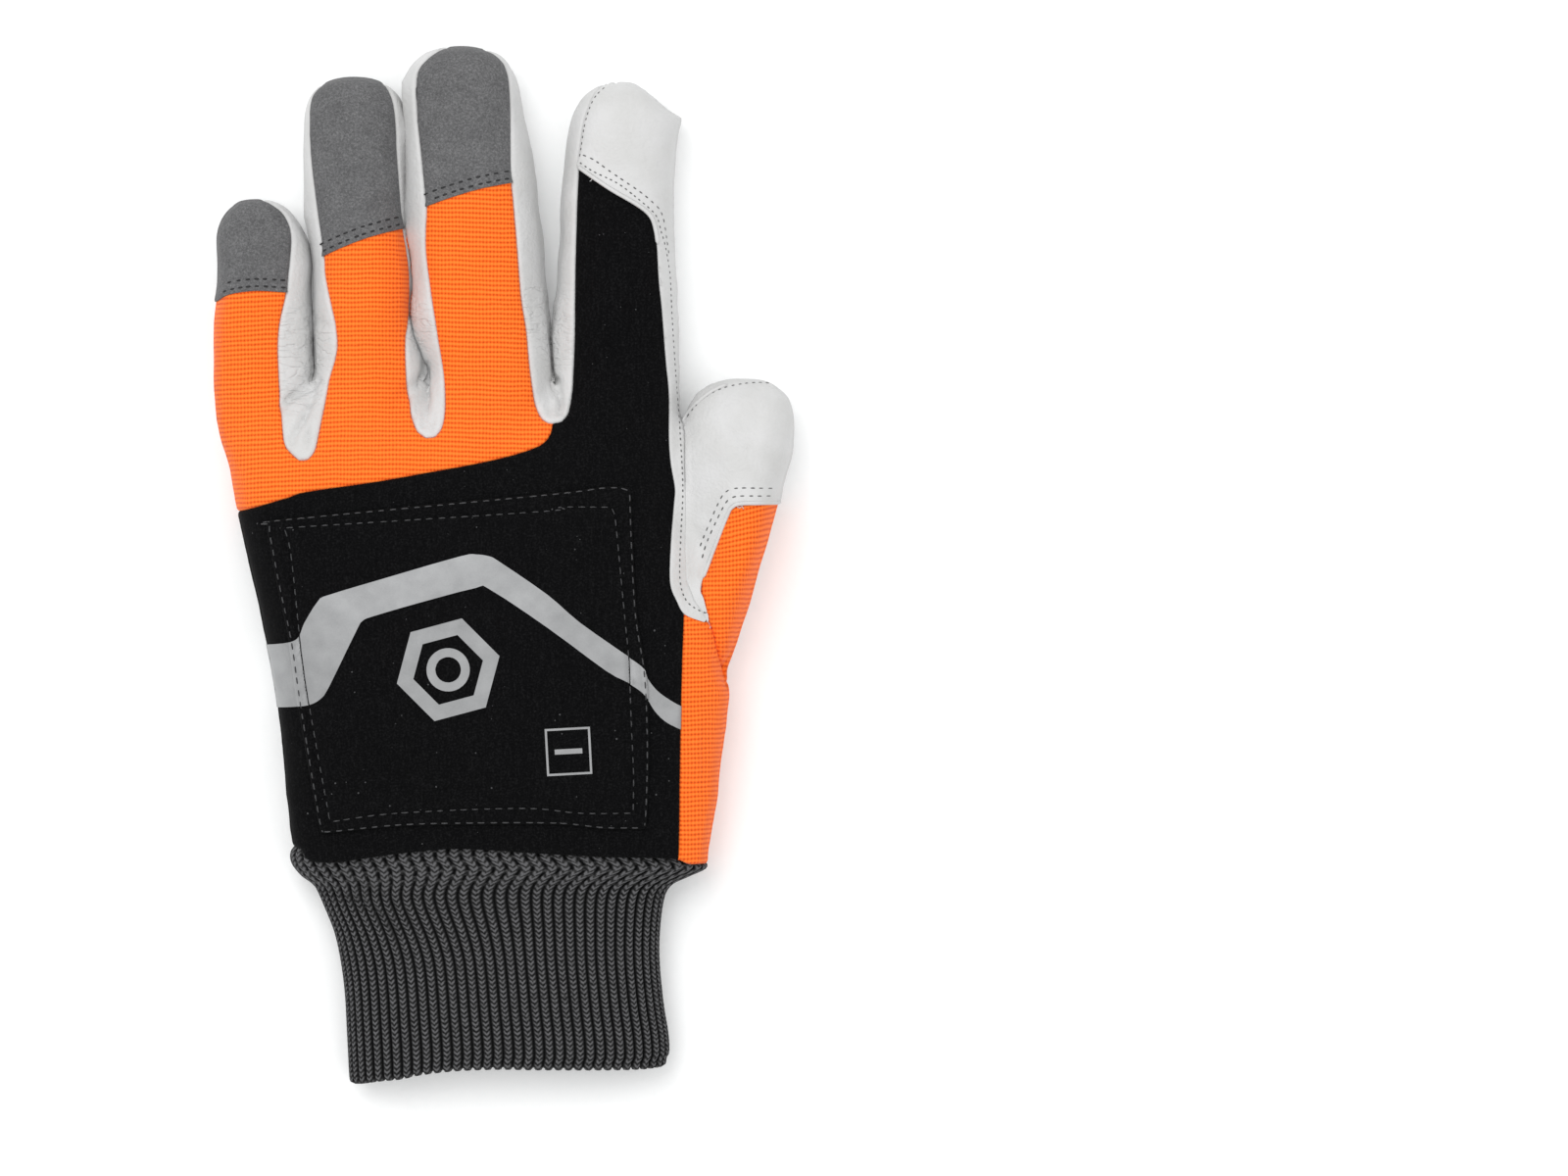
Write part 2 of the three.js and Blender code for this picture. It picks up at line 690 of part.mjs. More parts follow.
// Finishes
const finish = (color, roughness) => new THREE.MeshStandardMaterial({ color, roughness, metalness: 0 });
const whiteLeather = finish(0xe6e6e4, 0.55);
const greySuede = finish(0x6b6b6c, 0.95);
const orangeStretch = finish(0xff7518, 0.8);
const blackSoftshell = finish(0x141415, 0.9);
const silverTape = finish(0xb4b5b6, 0.5);
const greyKnit = finish(0x3c3c3d, 0.95);
const finishes = {
  palm: whiteLeather,
  thumb_palm: whiteLeather,
  thumb_cap: whiteLeather,
  index_guard: whiteLeather,
  fourchette_little_ring: whiteLeather,
  fourchette_ring_middle: whiteLeather,
  fourchette_middle_index: whiteLeather,
  fingertip_little: greySuede,
  fingertip_ring: greySuede,
  fingertip_middle: greySuede,
  knuckle_panel: orangeStretch,
  thumb_back: orangeStretch,
  side_gusset: orangeStretch,
  hand_back: blackSoftshell,
  saw_pad: blackSoftshell,
  tape_on_pad: silverTape,
  tape_little_side: silverTape,
  tape_thumb_side: silverTape,
  knit_cuff: greyKnit,
};

function meshOf(name, solid) {
  const { vertProperties, triVerts } = solid.getMesh();
  const geometry = new THREE.BufferGeometry();
  geometry.setAttribute('position', new THREE.BufferAttribute(vertProperties, 3));
  geometry.setIndex(new THREE.BufferAttribute(triVerts, 1));
  geometry.computeVertexNormals();
  const mesh = new THREE.Mesh(geometry, finishes[name]);
  mesh.name = name;
  return mesh;
}

const glove = new THREE.Group();
for (const [name, solid] of solids) glove.add(meshOf(name, solid));

// The origin is under the middle of the glove, on the surface that it lies on
const box = new THREE.Box3().setFromObject(glove);
const centre = box.getCenter(new THREE.Vector3());
glove.position.set(-centre.x, -centre.y, 0);

export default glove;
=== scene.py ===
# Chainsaw glove for the left hand, lying palm down. Everything is in metres.
# One smooth skin is grown over the frame's cloth nodes and cut into panels along the seams. Each panel then
# gets its edge, its wall and its stitches. The cuff is knitted from a loft of its own.
import math
import bpy
import numpy as np
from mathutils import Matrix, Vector, noise
from mathutils.bvhtree import BVHTree
from mathutils.kdtree import KDTree


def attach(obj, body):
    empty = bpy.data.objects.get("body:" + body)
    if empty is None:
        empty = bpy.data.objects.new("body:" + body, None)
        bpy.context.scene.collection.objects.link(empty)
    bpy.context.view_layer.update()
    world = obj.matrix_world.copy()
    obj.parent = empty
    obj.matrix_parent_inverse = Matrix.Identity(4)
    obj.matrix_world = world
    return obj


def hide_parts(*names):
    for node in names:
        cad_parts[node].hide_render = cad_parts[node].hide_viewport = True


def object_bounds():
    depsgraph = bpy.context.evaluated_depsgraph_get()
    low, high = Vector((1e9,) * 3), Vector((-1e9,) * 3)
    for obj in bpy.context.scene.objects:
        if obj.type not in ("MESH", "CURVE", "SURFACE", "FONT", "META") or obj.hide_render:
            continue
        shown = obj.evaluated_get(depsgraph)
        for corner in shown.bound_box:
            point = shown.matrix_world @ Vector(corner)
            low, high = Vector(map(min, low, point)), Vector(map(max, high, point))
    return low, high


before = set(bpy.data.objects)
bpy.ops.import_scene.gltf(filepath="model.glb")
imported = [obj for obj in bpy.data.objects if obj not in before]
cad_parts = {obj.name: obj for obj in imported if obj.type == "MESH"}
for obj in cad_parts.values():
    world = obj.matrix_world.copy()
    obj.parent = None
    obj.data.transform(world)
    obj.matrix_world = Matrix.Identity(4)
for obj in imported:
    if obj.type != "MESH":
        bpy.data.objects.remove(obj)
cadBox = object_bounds()
mm = 0.001
up = Vector((0, 0, 1))

# How the photo's pixels lie on the glove, seen from straight above
photo = {"scale": 0.255 * mm, "middleX": 513.5, "middleY": 575.0, "width": 1600, "height": 1200}


def px(points):
    spots = np.array(points, float).reshape(-1, 2)
    across = (spots[:, 0] - photo["middleX"]) * photo["scale"]
    along = (photo["middleY"] - spots[:, 1]) * photo["scale"]
    return np.stack([across, along], axis=1)


# A smooth line through pixels of the photo
def drawn(points, steps=5):
    p = np.array(points, float)
    p = np.vstack([2 * p[0] - p[1], p, 2 * p[-1] - p[-2]])
    t = np.linspace(0, 1, steps, endpoint=False)[:, None]
    spans = []
    for a, b, c, d in zip(p[:-3], p[1:-2], p[2:-1], p[3:]):
        spans.append(0.5 * (2 * b + (c - a) * t + (2 * a - 5 * b + 4 * c - d) * t**2
                            + (3 * b - a - 3 * c + d) * t**3))
    return px(np.vstack(spans + [p[-2:-1]]))


def smoothStep(value):
    t = np.clip(value, 0, 1)
    return t * t * (3 - 2 * t)


# Distance of each spot to a line, at most reach, and how far along the line its nearest point is, from 0 to 1
def toLine(spots, line, reach=6 * mm):
    steps = np.diff(line, axis=0)
    lengths = np.maximum(np.linalg.norm(steps, axis=1), 1e-9)
    starts = np.r_[0, np.cumsum(lengths)]
    gap = np.full(len(spots), reach)
    along = np.zeros(len(spots))
    near = np.flatnonzero(((spots > line.min(axis=0) - reach)
        & (spots < line.max(axis=0) + reach)).all(axis=1))
    near = near[np.argsort(spots[near, 1])]
    rows = spots[near, 1]
    for start, step, length, before in zip(line[:-1], steps, lengths, starts):
        ends = sorted([start[1], start[1] + step[1]])
        low, high = np.searchsorted(rows, [ends[0] - reach, ends[1] + reach])
        some = near[low:high]
        offset = spots[some] - start
        t = np.clip(offset @ step / length**2, 0, 1)
        here = np.linalg.norm(offset - t[:, None] * step, axis=1)
        closer = here < gap[some]
        gap[some[closer]] = here[closer]
        along[some[closer]] = (before + t[closer] * length) / starts[-1]
    return gap, along


# Positive inside a closed outline, negative outside, and never more than reach
def depthIn(spots, outline, reach=6 * mm):
    order = np.argsort(spots[:, 1])
    x, y = spots[order].T
    odd = np.zeros(len(spots), bool)
    for (x1, y1), (x2, y2) in zip(outline, np.roll(outline, -1, axis=0)):
        if y1 != y2:
            low, high = np.searchsorted(y, sorted([y1, y2]))
            odd[low:high] ^= x[low:high] < (x2 - x1) * (y[low:high] - y1) / (y2 - y1) + x1
    gap, _ = toLine(spots, np.vstack([outline, outline[:1]]), reach)
    inside = np.zeros(len(spots), bool)
    inside[order] = odd
    return np.where(inside, gap, -gap)


# Each face edge with a number that both of its faces share
def edgesOf(faces):
    edges = np.vstack([faces[:, [0, 1]], faces[:, [1, 2]], faces[:, [2, 0]]]).astype(np.int64)
    return edges, edges.min(axis=1) * (faces.max() + 1) + edges.max(axis=1)


def uniqueEdges(faces):
    edges, key = edgesOf(faces)
    return edges[np.unique(key, return_index=True)[1]]


# Which point is whose neighbour, both ways round
def neighboursOf(faces):
    edges = uniqueEdges(faces)
    return np.r_[edges[:, 0], edges[:, 1]], np.r_[edges[:, 1], edges[:, 0]]


# Cuts triangles along value = 0. Points may have any number of columns, and all of them are carried along.
# A point that lies nearly on the line is moved onto it, so that no sliver is left.
def splitAt(points, faces, value, snap=0.14):
    points, value = points.copy(), value.copy()
    edges = uniqueEdges(faces)
    edges = edges[value[edges[:, 0]] * value[edges[:, 1]] < 0]
    share = value[edges[:, 0]] / (value[edges[:, 0]] - value[edges[:, 1]])
    who, to, t = np.r_[edges[:, 0], edges[:, 1]], np.r_[edges[:, 1], edges[:, 0]], np.r_[share, 1 - share]
    order = np.argsort(-t)
    order = order[t[order] < snap]
    who, to, t = who[order], to[order], t[order, None]
    points[who] = points[who] * (1 - t) + points[to] * t
    value[who] = 0
    sign = np.sign(value).astype(int)[faces]
    crossed = (sign.min(axis=1) < 0) & (sign.max(axis=1) > 0)
    cut, sign, owner = faces[crossed], sign[crossed], np.flatnonzero(crossed)
    onLine = (sign == 0).any(axis=1)
    lone = np.where(onLine, (sign == 0).argmax(axis=1), (sign == -sign.sum(axis=1)[:, None]).argmax(axis=1))
    a, b, c = (cut[np.arange(len(cut)), (lone + i) % 3] for i in range(3))
    count = len(points)
    key = lambda i, j: np.minimum(i, j).astype(np.int64) * count + np.maximum(i, j)
    keys = np.unique(np.r_[key(b, c)[onLine], key(a, b)[~onLine], key(a, c)[~onLine]])
    at = lambda i, j: count + np.searchsorted(keys, key(i, j))
    one, two = onLine, ~onLine
    pieces = [faces[~crossed], np.c_[a, b, at(b, c)][one], np.c_[a, at(b, c), c][one],
        np.c_[a, at(a, b), at(a, c)][two], np.c_[at(a, b), b, c][two], np.c_[at(a, b), c, at(a, c)][two]]
    owners = np.r_[np.flatnonzero(~crossed), owner[one], owner[one], owner[two], owner[two], owner[two]]
    low, high = keys // count, keys % count
    t = (value[low] / (value[low] - value[high]))[:, None]
    points = np.vstack([points, points[low] * (1 - t) + points[high] * t])
    return points, np.vstack(pieces), owners, np.r_[value, np.zeros(len(keys))]


def sideOf(faces, value):
    return value[faces].sum(axis=1) > 0


def normalsOf(places, faces):
    a, b, c = (places[faces[:, i]] for i in range(3))
    flat = np.cross(b - a, c - a)
    total = np.stack([np.bincount(faces.ravel(), np.repeat(flat[:, i], 3), len(places)) for i in range(3)],
        axis=1)
    return total / np.maximum(np.linalg.norm(total, axis=1), 1e-12)[:, None]


def readMesh(mesh):
    mesh.calc_loop_triangles()
    places = np.zeros(len(mesh.vertices) * 3)
    mesh.vertices.foreach_get("co", places)
    faces = np.zeros(len(mesh.loop_triangles) * 3, np.int64)
    mesh.loop_triangles.foreach_get("vertices", faces)
    return places.reshape(-1, 3), faces.reshape(-1, 3)


def objectFrom(name, places, faces):
    mesh = bpy.data.meshes.new(name)
    mesh.from_pydata(places.tolist(), [], faces.tolist())
    mesh.update()
    thing = bpy.data.objects.new(name, mesh)
    bpy.context.scene.collection.objects.link(thing)
    return thing


def pick(*things):
    bpy.ops.object.select_all(action="DESELECT")
    for thing in things:
        thing.select_set(True)
    bpy.context.view_layer.objects.active = things[0]


# Nodes by the kind of cloth
leatherNodes = ["palm", "thumb_palm", "thumb_cap", "index_guard",
                "fourchette_little_ring", "fourchette_ring_middle", "fourchette_middle_index"]
suedeNodes = ["fingertip_little", "fingertip_ring", "fingertip_middle"]
stretchNodes = ["knuckle_panel", "thumb_back", "side_gusset"]
skinNodes = leatherNodes + suedeNodes + stretchNodes + ["hand_back"]

# Where fingers part from each other and the thumb from the hand. Each gap is opened before the skin is
# grown, so that it doesn't close, and is shut again afterwards.
skinSetup = {
    "voxel": 0.88 * mm,
    "pushOut": 0.3 * mm,
    "plug": 9 * mm,
    "relaxRounds": 130,
    "gapOpening": 9 * mm,
    "gapRun": 26 * mm,
    "gapHalf": 0.3 * mm,
    "fingerHeight": 7.5 * mm,
    "thumbHeight": 8.5 * mm,
    "fingerRootRow": 408,
    "fingerGaps": [[(313.6, 344), (310.8, 272)], [(421, 344), (413.6, 150)], [(564.4, 344), (559.4, 150)]],
    "thumbRootRow": 446,
    "thumbLine": [(699, 380), (697.5, 425), (698.5, 470), (699.5, 520), (699.5, 560), (701, 592),
        (709, 613), (718, 626), (724, 640), (724, 700)],
    "fingerLines": [
        [(309, 222), (312, 235), (316, 250), (318.5, 270), (318, 300), (319.5, 352), (320.5, 376),
         (318, 408)],
        [(412.5, 90), (413, 231), (417, 259), (419.4, 286), (418.6, 323), (422.5, 343), (429, 360),
         (434.5, 376), (435, 410)],
        [(564, 250), (563.5, 320), (562.5, 345), (564, 376), (567, 405)],
    ],
    "lineReach": 7 * mm,
    "crevices": [-0.8, -1.5, -0.6, 0.0],
    "thumbRows": [565, 535, 505, 475, 445, 420],
}


# Every wall that a line along +X meets
def wallsAlong(tree, y, z):
    x = cadBox[0].x - 10 * mm
    walls = []
    while True:
        hit = tree.ray_cast(Vector((x, y, z)), Vector((1, 0, 0)))
        if hit[0] is None:
            return walls
        walls.append(hit[0].x)
        x = hit[0].x + 0.01 * mm


# The line between two fingers runs midway between the walls on both sides of two spots
def findGaps(tree):
    rowY = lambda row: px([(0, row)])[0, 1]
    gaps = []
    for pair in skinSetup["fingerGaps"]:
        ys = px(pair)[:, 1]
        xs = []
        for x, y in px(pair):
            walls = np.array(wallsAlong(tree, y, skinSetup["fingerHeight"]))
            xs.append((walls[walls < x].max() + walls[walls > x].min()) / 2)
        slope = (xs[1] - xs[0]) / (ys[1] - ys[0])
        far = np.array([-0.2, 0.2])
        gaps.append({"y": far, "x": xs[0] + (far - ys[0]) * slope,
            "start": rowY(skinSetup["fingerRootRow"])})
    ys = np.array([rowY(row) for row in skinSetup["thumbRows"]])
    found = [wallsAlong(tree, y, skinSetup["thumbHeight"]) for y in ys]
    xs = np.array([(walls[-5] + walls[-4]) / 2 for walls in found])
    gaps.append({"y": ys, "x": xs, "start": rowY(skinSetup["thumbRootRow"])})
    print("gaps", [np.round(gap["x"] / photo["scale"] + photo["middleX"], 1).tolist() for gap in gaps])
    return gaps


# Opens the gaps, or shuts them again. Also says on which side of each gap a point is, from 0 to 1.
def moveFingers(places, gaps, opening):
    x, y = places[:, 0].copy(), places[:, 1]
    half = skinSetup["gapHalf"]
    sides = []
    moved = np.zeros(len(x))
    for gap in gaps:
        line = np.interp(y, gap["y"], gap["x"])
        width = skinSetup["gapOpening"] * smoothStep((y - gap["start"]) / skinSetup["gapRun"])
        if opening:
            t = np.clip((x - line + half) / (2 * half), 0, 1)
        else:
            t = np.clip((x - moved - line + half) / (2 * half + width), 0, 1)
        moved = moved + width * t
        sides.append(t)
    result = places.copy()
    result[:, 0] = x + moved if opening else x - moved
    return result, np.stack(sides, axis=1)


# Moves what lies around a gap sideways onto the photo's line, and leaves a narrow crevice along it
def placeGap(places, gap, side, aim, crevice):
    x, y = places[:, 0], places[:, 1]
    line = px(aim)[::-1]
    now = np.interp(y, gap["y"], gap["x"])
    ends = smoothStep((y - line[0, 1]) / (8 * mm)) * smoothStep((line[-1, 1] + 10 * mm - y) / (10 * mm))
    away = (x - now) / skinSetup["lineReach"]
    shift = (np.interp(y, line[:, 1], line[:, 0]) - now) * np.exp(-(away**2))
    shift += (side - 0.5) * crevice * mm * np.exp(-((2.5 * away) ** 2))
    result = places.copy()
    result[:, 0] += shift * ends
    return result


def relax(places, faces, rounds):
    a, b = neighboursOf(faces)
    count = np.bincount(a, minlength=len(places))[:, None]
    for i in range(rounds * 2):
        middle = np.stack([np.bincount(a, places[b, j], len(places)) for j in range(3)], axis=1) / count
        places = places + (0.6 if i % 2 == 0 else -0.612) * (middle - places)
    return places


# How far the outline moves sideways to meet the photo's: x, row and move in pixels, on one side of a gap
outlineMoves = [
    {"column": None, "line": [(225, 195, 0), (229, 210, 6), (215, 240, 6), (214, 270, 7.5), (212, 300, 8),
        (213, 330, 5), (213, 390, 5), (216, 420, 4), (223, 450, 3), (230, 480, 5), (237, 510, 3),
        (249, 570, 3), (256, 600, 3), (270, 660, 3), (280, 720, 3), (287, 780, 2), (292, 810, 0)]},
    {"column": 2, "after": False, "line": [(525, 50, 0), (531, 67, -6), (540, 100, -6), (543.8, 123, -5),
        (545, 160, 0), (545, 186, 2), (548, 232, 2), (555, 279, 0), (561, 326, 2), (565, 382, 2),
        (567, 400, 0)]},
    {"column": 2, "after": True, "line": [(606, 70, 3), (600, 84, 4), (590.6, 92, 6), (579.7, 107, 6),
        (577, 130, 3), (576.6, 154, 1), (576.6, 201, -2.5), (572, 264, -3), (568, 304, -2), (567, 342, -3),
        (567, 382, -3), (569, 400, 0)]},
    {"column": 3, "after": False, "line": [(640, 60, -5), (660, 84, -8), (668, 88, -14), (680, 95, -16),
        (687.5, 104, -13), (691, 112, -8), (693, 121, 0.5), (692.8, 127, 0.5), (692.8, 140, -2.5),
        (692.8, 154, -4.4), (692.8, 186, -6.8), (692.8, 220, -6.8), (695, 264, -6.7), (696, 295, -6),
        (697, 357, -5), (697, 420, -3), (697, 450, 0)]},
    {"column": 3, "after": True, "line": [(790, 388, 0), (803, 396, -3), (812, 415, -4), (814, 432, -4),
        (812, 460, -4), (804, 503, -5), (799, 520, -5.5), (790, 550, -6), (782, 578, -6), (765, 620, -4.5),
        (755, 655, -3), (745, 690, -1), (744, 720, -3), (740, 750, -4), (736, 780, -3), (732, 810, 0)]},
]
tipPushes = [
    {"at": (694, 121), "move": (2, -1), "reach": 1.8},
]


def moveOutline(places, sides, edge):
    line = np.array(edge["line"])[::-1]
    spots = px(line[:, :2])
    x, y = places[:, 0], places[:, 1]
    away = (x - np.interp(y, spots[:, 1], spots[:, 0])) / (6 * mm)
    weight = np.exp(-(away**2)) * photo["scale"]
    if edge["column"] is not None:
        weight *= (sides[:, edge["column"]] > 0.5) == edge["after"]
    result = places.copy()
    result[:, 0] += np.interp(y, spots[:, 1], line[:, 2], left=0, right=0) * weight
    return result


def growSkin():
    copies = []
    for name in skinNodes:
        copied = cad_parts[name].copy()
        copied.data = copied.data.copy()
        copied.parent = None
        bpy.context.scene.collection.objects.link(copied)
        copies.append(copied)
    pick(*copies)
    bpy.ops.object.join()
    cloth = bpy.context.view_layer.objects.active
    bpy.ops.object.mode_set(mode="EDIT")
    bpy.ops.mesh.select_all(action="SELECT")
    bpy.ops.mesh.remove_doubles(threshold=0.001 * mm)
    bpy.ops.object.mode_set(mode="OBJECT")
    places, faces = readMesh(cloth.data)
    gaps = findGaps(BVHTree.FromPolygons(places.tolist(), faces.tolist()))
    rows = np.arange(min(gap["start"] for gap in gaps), places[:, 1].max(), 4 * mm)
    for row in rows:
        places, faces, _, _ = splitAt(places, faces, places[:, 1] - row, 0.02)
    places = places + normalsOf(places, faces) * skinSetup["pushOut"]
    wrist = places[:, 1].min()
    rim = places[places[:, 1] < wrist + 0.5 * mm]
    places, _ = moveFingers(places, gaps, True)
    bpy.data.objects.remove(cloth)
    body = objectFrom("body", places, faces)
    ends = np.vstack([rim - [0, skinSetup["plug"], 0], rim + [0, 2 * mm, 0]])
    plug = objectFrom("plug", ends, np.zeros((0, 3), int))
    pick(plug)
    bpy.ops.object.mode_set(mode="EDIT")
    bpy.ops.mesh.select_all(action="SELECT")
    bpy.ops.mesh.convex_hull()
    bpy.ops.object.mode_set(mode="OBJECT")
    pick(body, plug)
    bpy.ops.object.join()
    remesh = body.modifiers.new("grow", "REMESH")
    remesh.mode = "VOXEL"
    remesh.voxel_size = skinSetup["voxel"]
    bpy.ops.object.modifier_apply(modifier=remesh.name)
    bpy.ops.object.mode_set(mode="EDIT")
    bpy.ops.mesh.select_all(action="SELECT")
    bpy.ops.mesh.separate(type="LOOSE")
    bpy.ops.object.mode_set(mode="OBJECT")
    shells = list(bpy.context.selected_objects)
    shells.sort(key=lambda thing: thing.dimensions.length, reverse=True)
    places, faces = readMesh(shells[0].data)
    for shell in shells:
        bpy.data.objects.remove(shell)
    places = relax(places, faces, skinSetup["relaxRounds"])
    places, sides = moveFingers(places, gaps, False)
    aims = skinSetup["fingerLines"] + [skinSetup["thumbLine"][:5]]
    for i, (gap, aim) in enumerate(zip(gaps, aims)):
        places = placeGap(places, gap, sides[:, i], aim, skinSetup["crevices"][i])
    for edge in outlineMoves:
        places = moveOutline(places, sides, edge)
    for push in tipPushes:
        away = (places[:, :2] - px([push["at"]])[0]) / (push["reach"] * mm)
        weight = np.exp(-(away**2).sum(axis=1))[:, None] * np.array([[1, -1]]) * photo["scale"]
        places[:, :2] += weight * push["move"]
    places[:, 2] = np.maximum(places[:, 2] - places[:, 2].min(), 0)
    print("skin", len(places), "points,", len(shells), "shells")
    return places, faces, sides


skinPlaces, skinFaces, skinSides = growSkin()

# Seams of the back, drawn in the photo's pixels
tipSeams = {
    "little": [(200, 309), (219.7, 307.9), (234.4, 301), (261.6, 297.3), (293.3, 298.8), (312, 299)],
    "ring": [(315, 267), (330, 262.2), (352.2, 252.4), (377, 243), (412.2, 233.2), (425, 230)],
    "middle": [(425, 215), (435.1, 211.6), (461.2, 202.4), (489.8, 193.9), (523.3, 187.1), (535, 185)],
}
slotSides = {
    "little_ring": {
        "left": [(246, 190), (254, 200.5), (268, 203), (279, 208.5), (288.8, 216), (295.6, 227.5),
            (298.5, 241), (297.4, 263.8), (293.3, 298.8), (290.4, 313), (286.2, 333), (284.6, 354.6),
            (285.4, 382.8), (287, 409), (288.7, 437.5), (291.2, 452.5), (297.8, 462.4), (306, 469.9)],
        "right": [(314.4, 469.9), (321.9, 461.6), (325.2, 449), (329.4, 426), (332.7, 404.4), (336, 386),
            (342.6, 364.6), (344.3, 349.6), (341.8, 329.8), (337.6, 311.5), (332.7, 290), (330.7, 277),
            (330, 262.2), (325, 227.5), (320.5, 195.8), (316.4, 161.9), (314.8, 127.9), (315.9, 105.3),
            (320.5, 94), (329.5, 84.9), (342, 78.5), (357, 75), (364, 55)],
        "beyond": [(300, 55), (246, 170)],
    },
    "ring_middle": {
        "left": [(350, 55), (355, 73), (370, 76.3), (384, 80.5), (392, 85), (398.6, 94), (403, 107.5),
            (405.4, 128), (406.5, 155), (408.8, 186.8), (410.6, 214), (412.2, 233.2), (416.7, 259),
            (419, 286), (417.8, 329.4), (415.6, 346), (415.6, 372.9), (417.2, 396), (419.7, 416),
            (423, 430.9), (427.2, 440), (435.5, 446.7)],
        "right": [(445.4, 445.8), (452, 435.9), (454.6, 421), (453.7, 396), (450.4, 371), (447, 349.7),
            (443.8, 328), (439.6, 301.6), (434.5, 263.8), (433.7, 241), (435.1, 211.6), (432.7, 193.3),
            (429.6, 162.7), (425.5, 128), (423.5, 101.4), (423.5, 85), (426.5, 70.8), (434.7, 60.6),
            (447, 51.5), (462, 45.5), (480, 40), (486, 20)],
        "beyond": [(350, 20)],
    },
    "middle_index": {
        "left": [(466, 20), (472, 42), (488, 47.5), (504, 54.5), (513.3, 62.7), (518.4, 72.9), (520.8, 85),
            (522.4, 111.6), (522.4, 172.9), (523.3, 187.1), (525.5, 209.6), (528.6, 244.3),
            (530.6, 268.8), (533.7, 306.5), (538.8, 339), (541.8, 371.8), (544.9, 396.3), (548, 414.7),
            (553, 425.9), (561.2, 432)],
        "right": [(573.5, 430), (579.6, 420.8), (582.7, 404.5), (584.7, 371.8), (585.7, 341.2), (586, 280),
            (587.8, 213.7), (589.4, 174.9), (589.4, 164.7), (590.8, 152.4), (593.9, 128), (599, 109.6),
            (606, 95.3), (616.3, 85), (632, 78), (636, 20)],
        "beyond": [],
    },
}
guardEdge = [(588, 170), (602, 181.5), (624.5, 196.3), (651, 211.6), (663.3, 222), (668, 234),
    (670.4, 250.4), (672.4, 286), (675.5, 316.7), (679.6, 369.8), (682.7, 402.4), (682.7, 447.3),
    (684.7, 473.9), (688.8, 498.4), (688, 513), (685, 552), (684, 594), (690.6, 613), (698.6, 626.6),
    (714.7, 633.5), (724.6, 636)]
guardBeyond = [(721, 618), (717, 593.6), (728, 560), (760, 400), (760, 30), (580, 30)]
capEdge = [(840, 513), (800, 513.5), (775, 514), (756, 514.5), (748, 517), (742, 527), (716.5, 593.6),
    (718.5, 612), (724.6, 636)]
capBeyond = [(716, 634), (700, 620), (680, 590), (660, 560), (660, 350), (840, 350)]
creaseLine = [(708, 616), (724.6, 635.8), (733, 664), (741, 691), (752, 722)]
thumbBackBeyond = [(840, 722), (840, 480), (700, 480)]
gussetEdge = [(700, 600), (698.6, 627), (698, 652), (696, 721), (694.7, 790), (694, 858), (692, 900)]
gussetBeyond = [(820, 900), (820, 600)]
backEdge = [(190, 520), (228, 520), (246, 521.6), (292, 509), (315, 502), (384, 492), (430, 484),
    (498, 471), (544, 458), (560, 447), (565, 430), (566, 400)]
backBeyond = [(566, 20), (900, 20), (900, 980), (100, 980)]
thumbPalmEdge = [(714.7, 573), (698, 590), (690.7, 611.6), (686, 640), (687.3, 659.5), (695, 690),
    (713.5, 707), (768, 731)]
thumbPalmBeyond = [(860, 731), (860, 350), (640, 350), (640, 573)]
wristEdge = [(240, 862), (300, 864), (313, 877), (340, 880), (375, 875), (421, 869), (467, 866), (513, 868),
             (549, 870.5), (618, 874), (687, 876), (705, 881), (721, 881), (780, 881)]
palmSeam = {"height": 3.4 * mm}

# The pad's two stitch rows
padRows = {
    "outer": [
        [(277, 535), (282, 532), (560, 505.5), (614.8, 498.6), (638, 499), (643, 503)],
        [(643, 503), (644.7, 553), (649, 629), (658, 686), (660.7, 744), (660.7, 790), (658.5, 840),
         (655, 844)],
        [(655, 844), (614.8, 843.6), (569, 839), (475, 839), (407, 841), (338, 848), (332, 847)],
        [(332, 847), (328, 840), (308, 718), (299, 654), (287, 598), (280, 560), (276.5, 541), (277, 535)],
    ],
    "inner": [
        [(292, 539), (560, 522), (569, 518), (624, 518)],
        [(624, 518), (627.4, 523), (631, 555), (638, 629), (642.4, 675), (645, 744), (647, 790),
         (646.5, 829)],
        [(646.5, 829), (592, 829), (534, 824), (407, 829), (338, 838)],
        [(338, 838), (317, 718), (308, 652), (298.7, 565), (292, 539)],
    ],
}
tapeTop = [(262, 656), (273, 657.5), (298.4, 655), (308, 648), (312.5, 636), (327, 613), (338, 607),
    (395, 590), (471, 568), (487, 566), (501, 568), (512, 574), (560, 607), (592, 634.6), (642, 670),
    (657.3, 682), (660, 690), (670, 703.5), (684, 714), (700, 723)]
tapeLow = [(700, 747), (694, 743.7), (679, 735.7), (667.6, 724), (658, 708.5), (641, 696), (619, 684),
    (560, 640.4), (501, 601.3), (487, 600), (430, 615), (384, 628.4), (372, 633.5), (365, 645), (338, 700),
    (329, 712.7), (317, 719), (298.7, 721), (280, 721.5), (262, 721)]

# Skin with every column that the cutting carries along: place, normal, and the side of each gap
skin = {"points": None, "faces": skinFaces, "label": np.zeros(len(skinFaces), int)}


def spotsNow():
    return skin["points"][:, :2]


# Cuts the skin along value = 0 and gives a name to what lies inside, where the old name allows it
panelNames = ["upper", "palm", "thumb_palm", "fourchette_little_ring", "fourchette_ring_middle",
    "fourchette_middle_index", "index_guard", "fingertip_little", "fingertip_ring", "fingertip_middle",
    "thumb_cap", "thumb_back", "side_gusset", "hand_back", "saw_pad", "knuckle_panel", "cut_off"]
label = {name: i for i, name in enumerate(panelNames)}


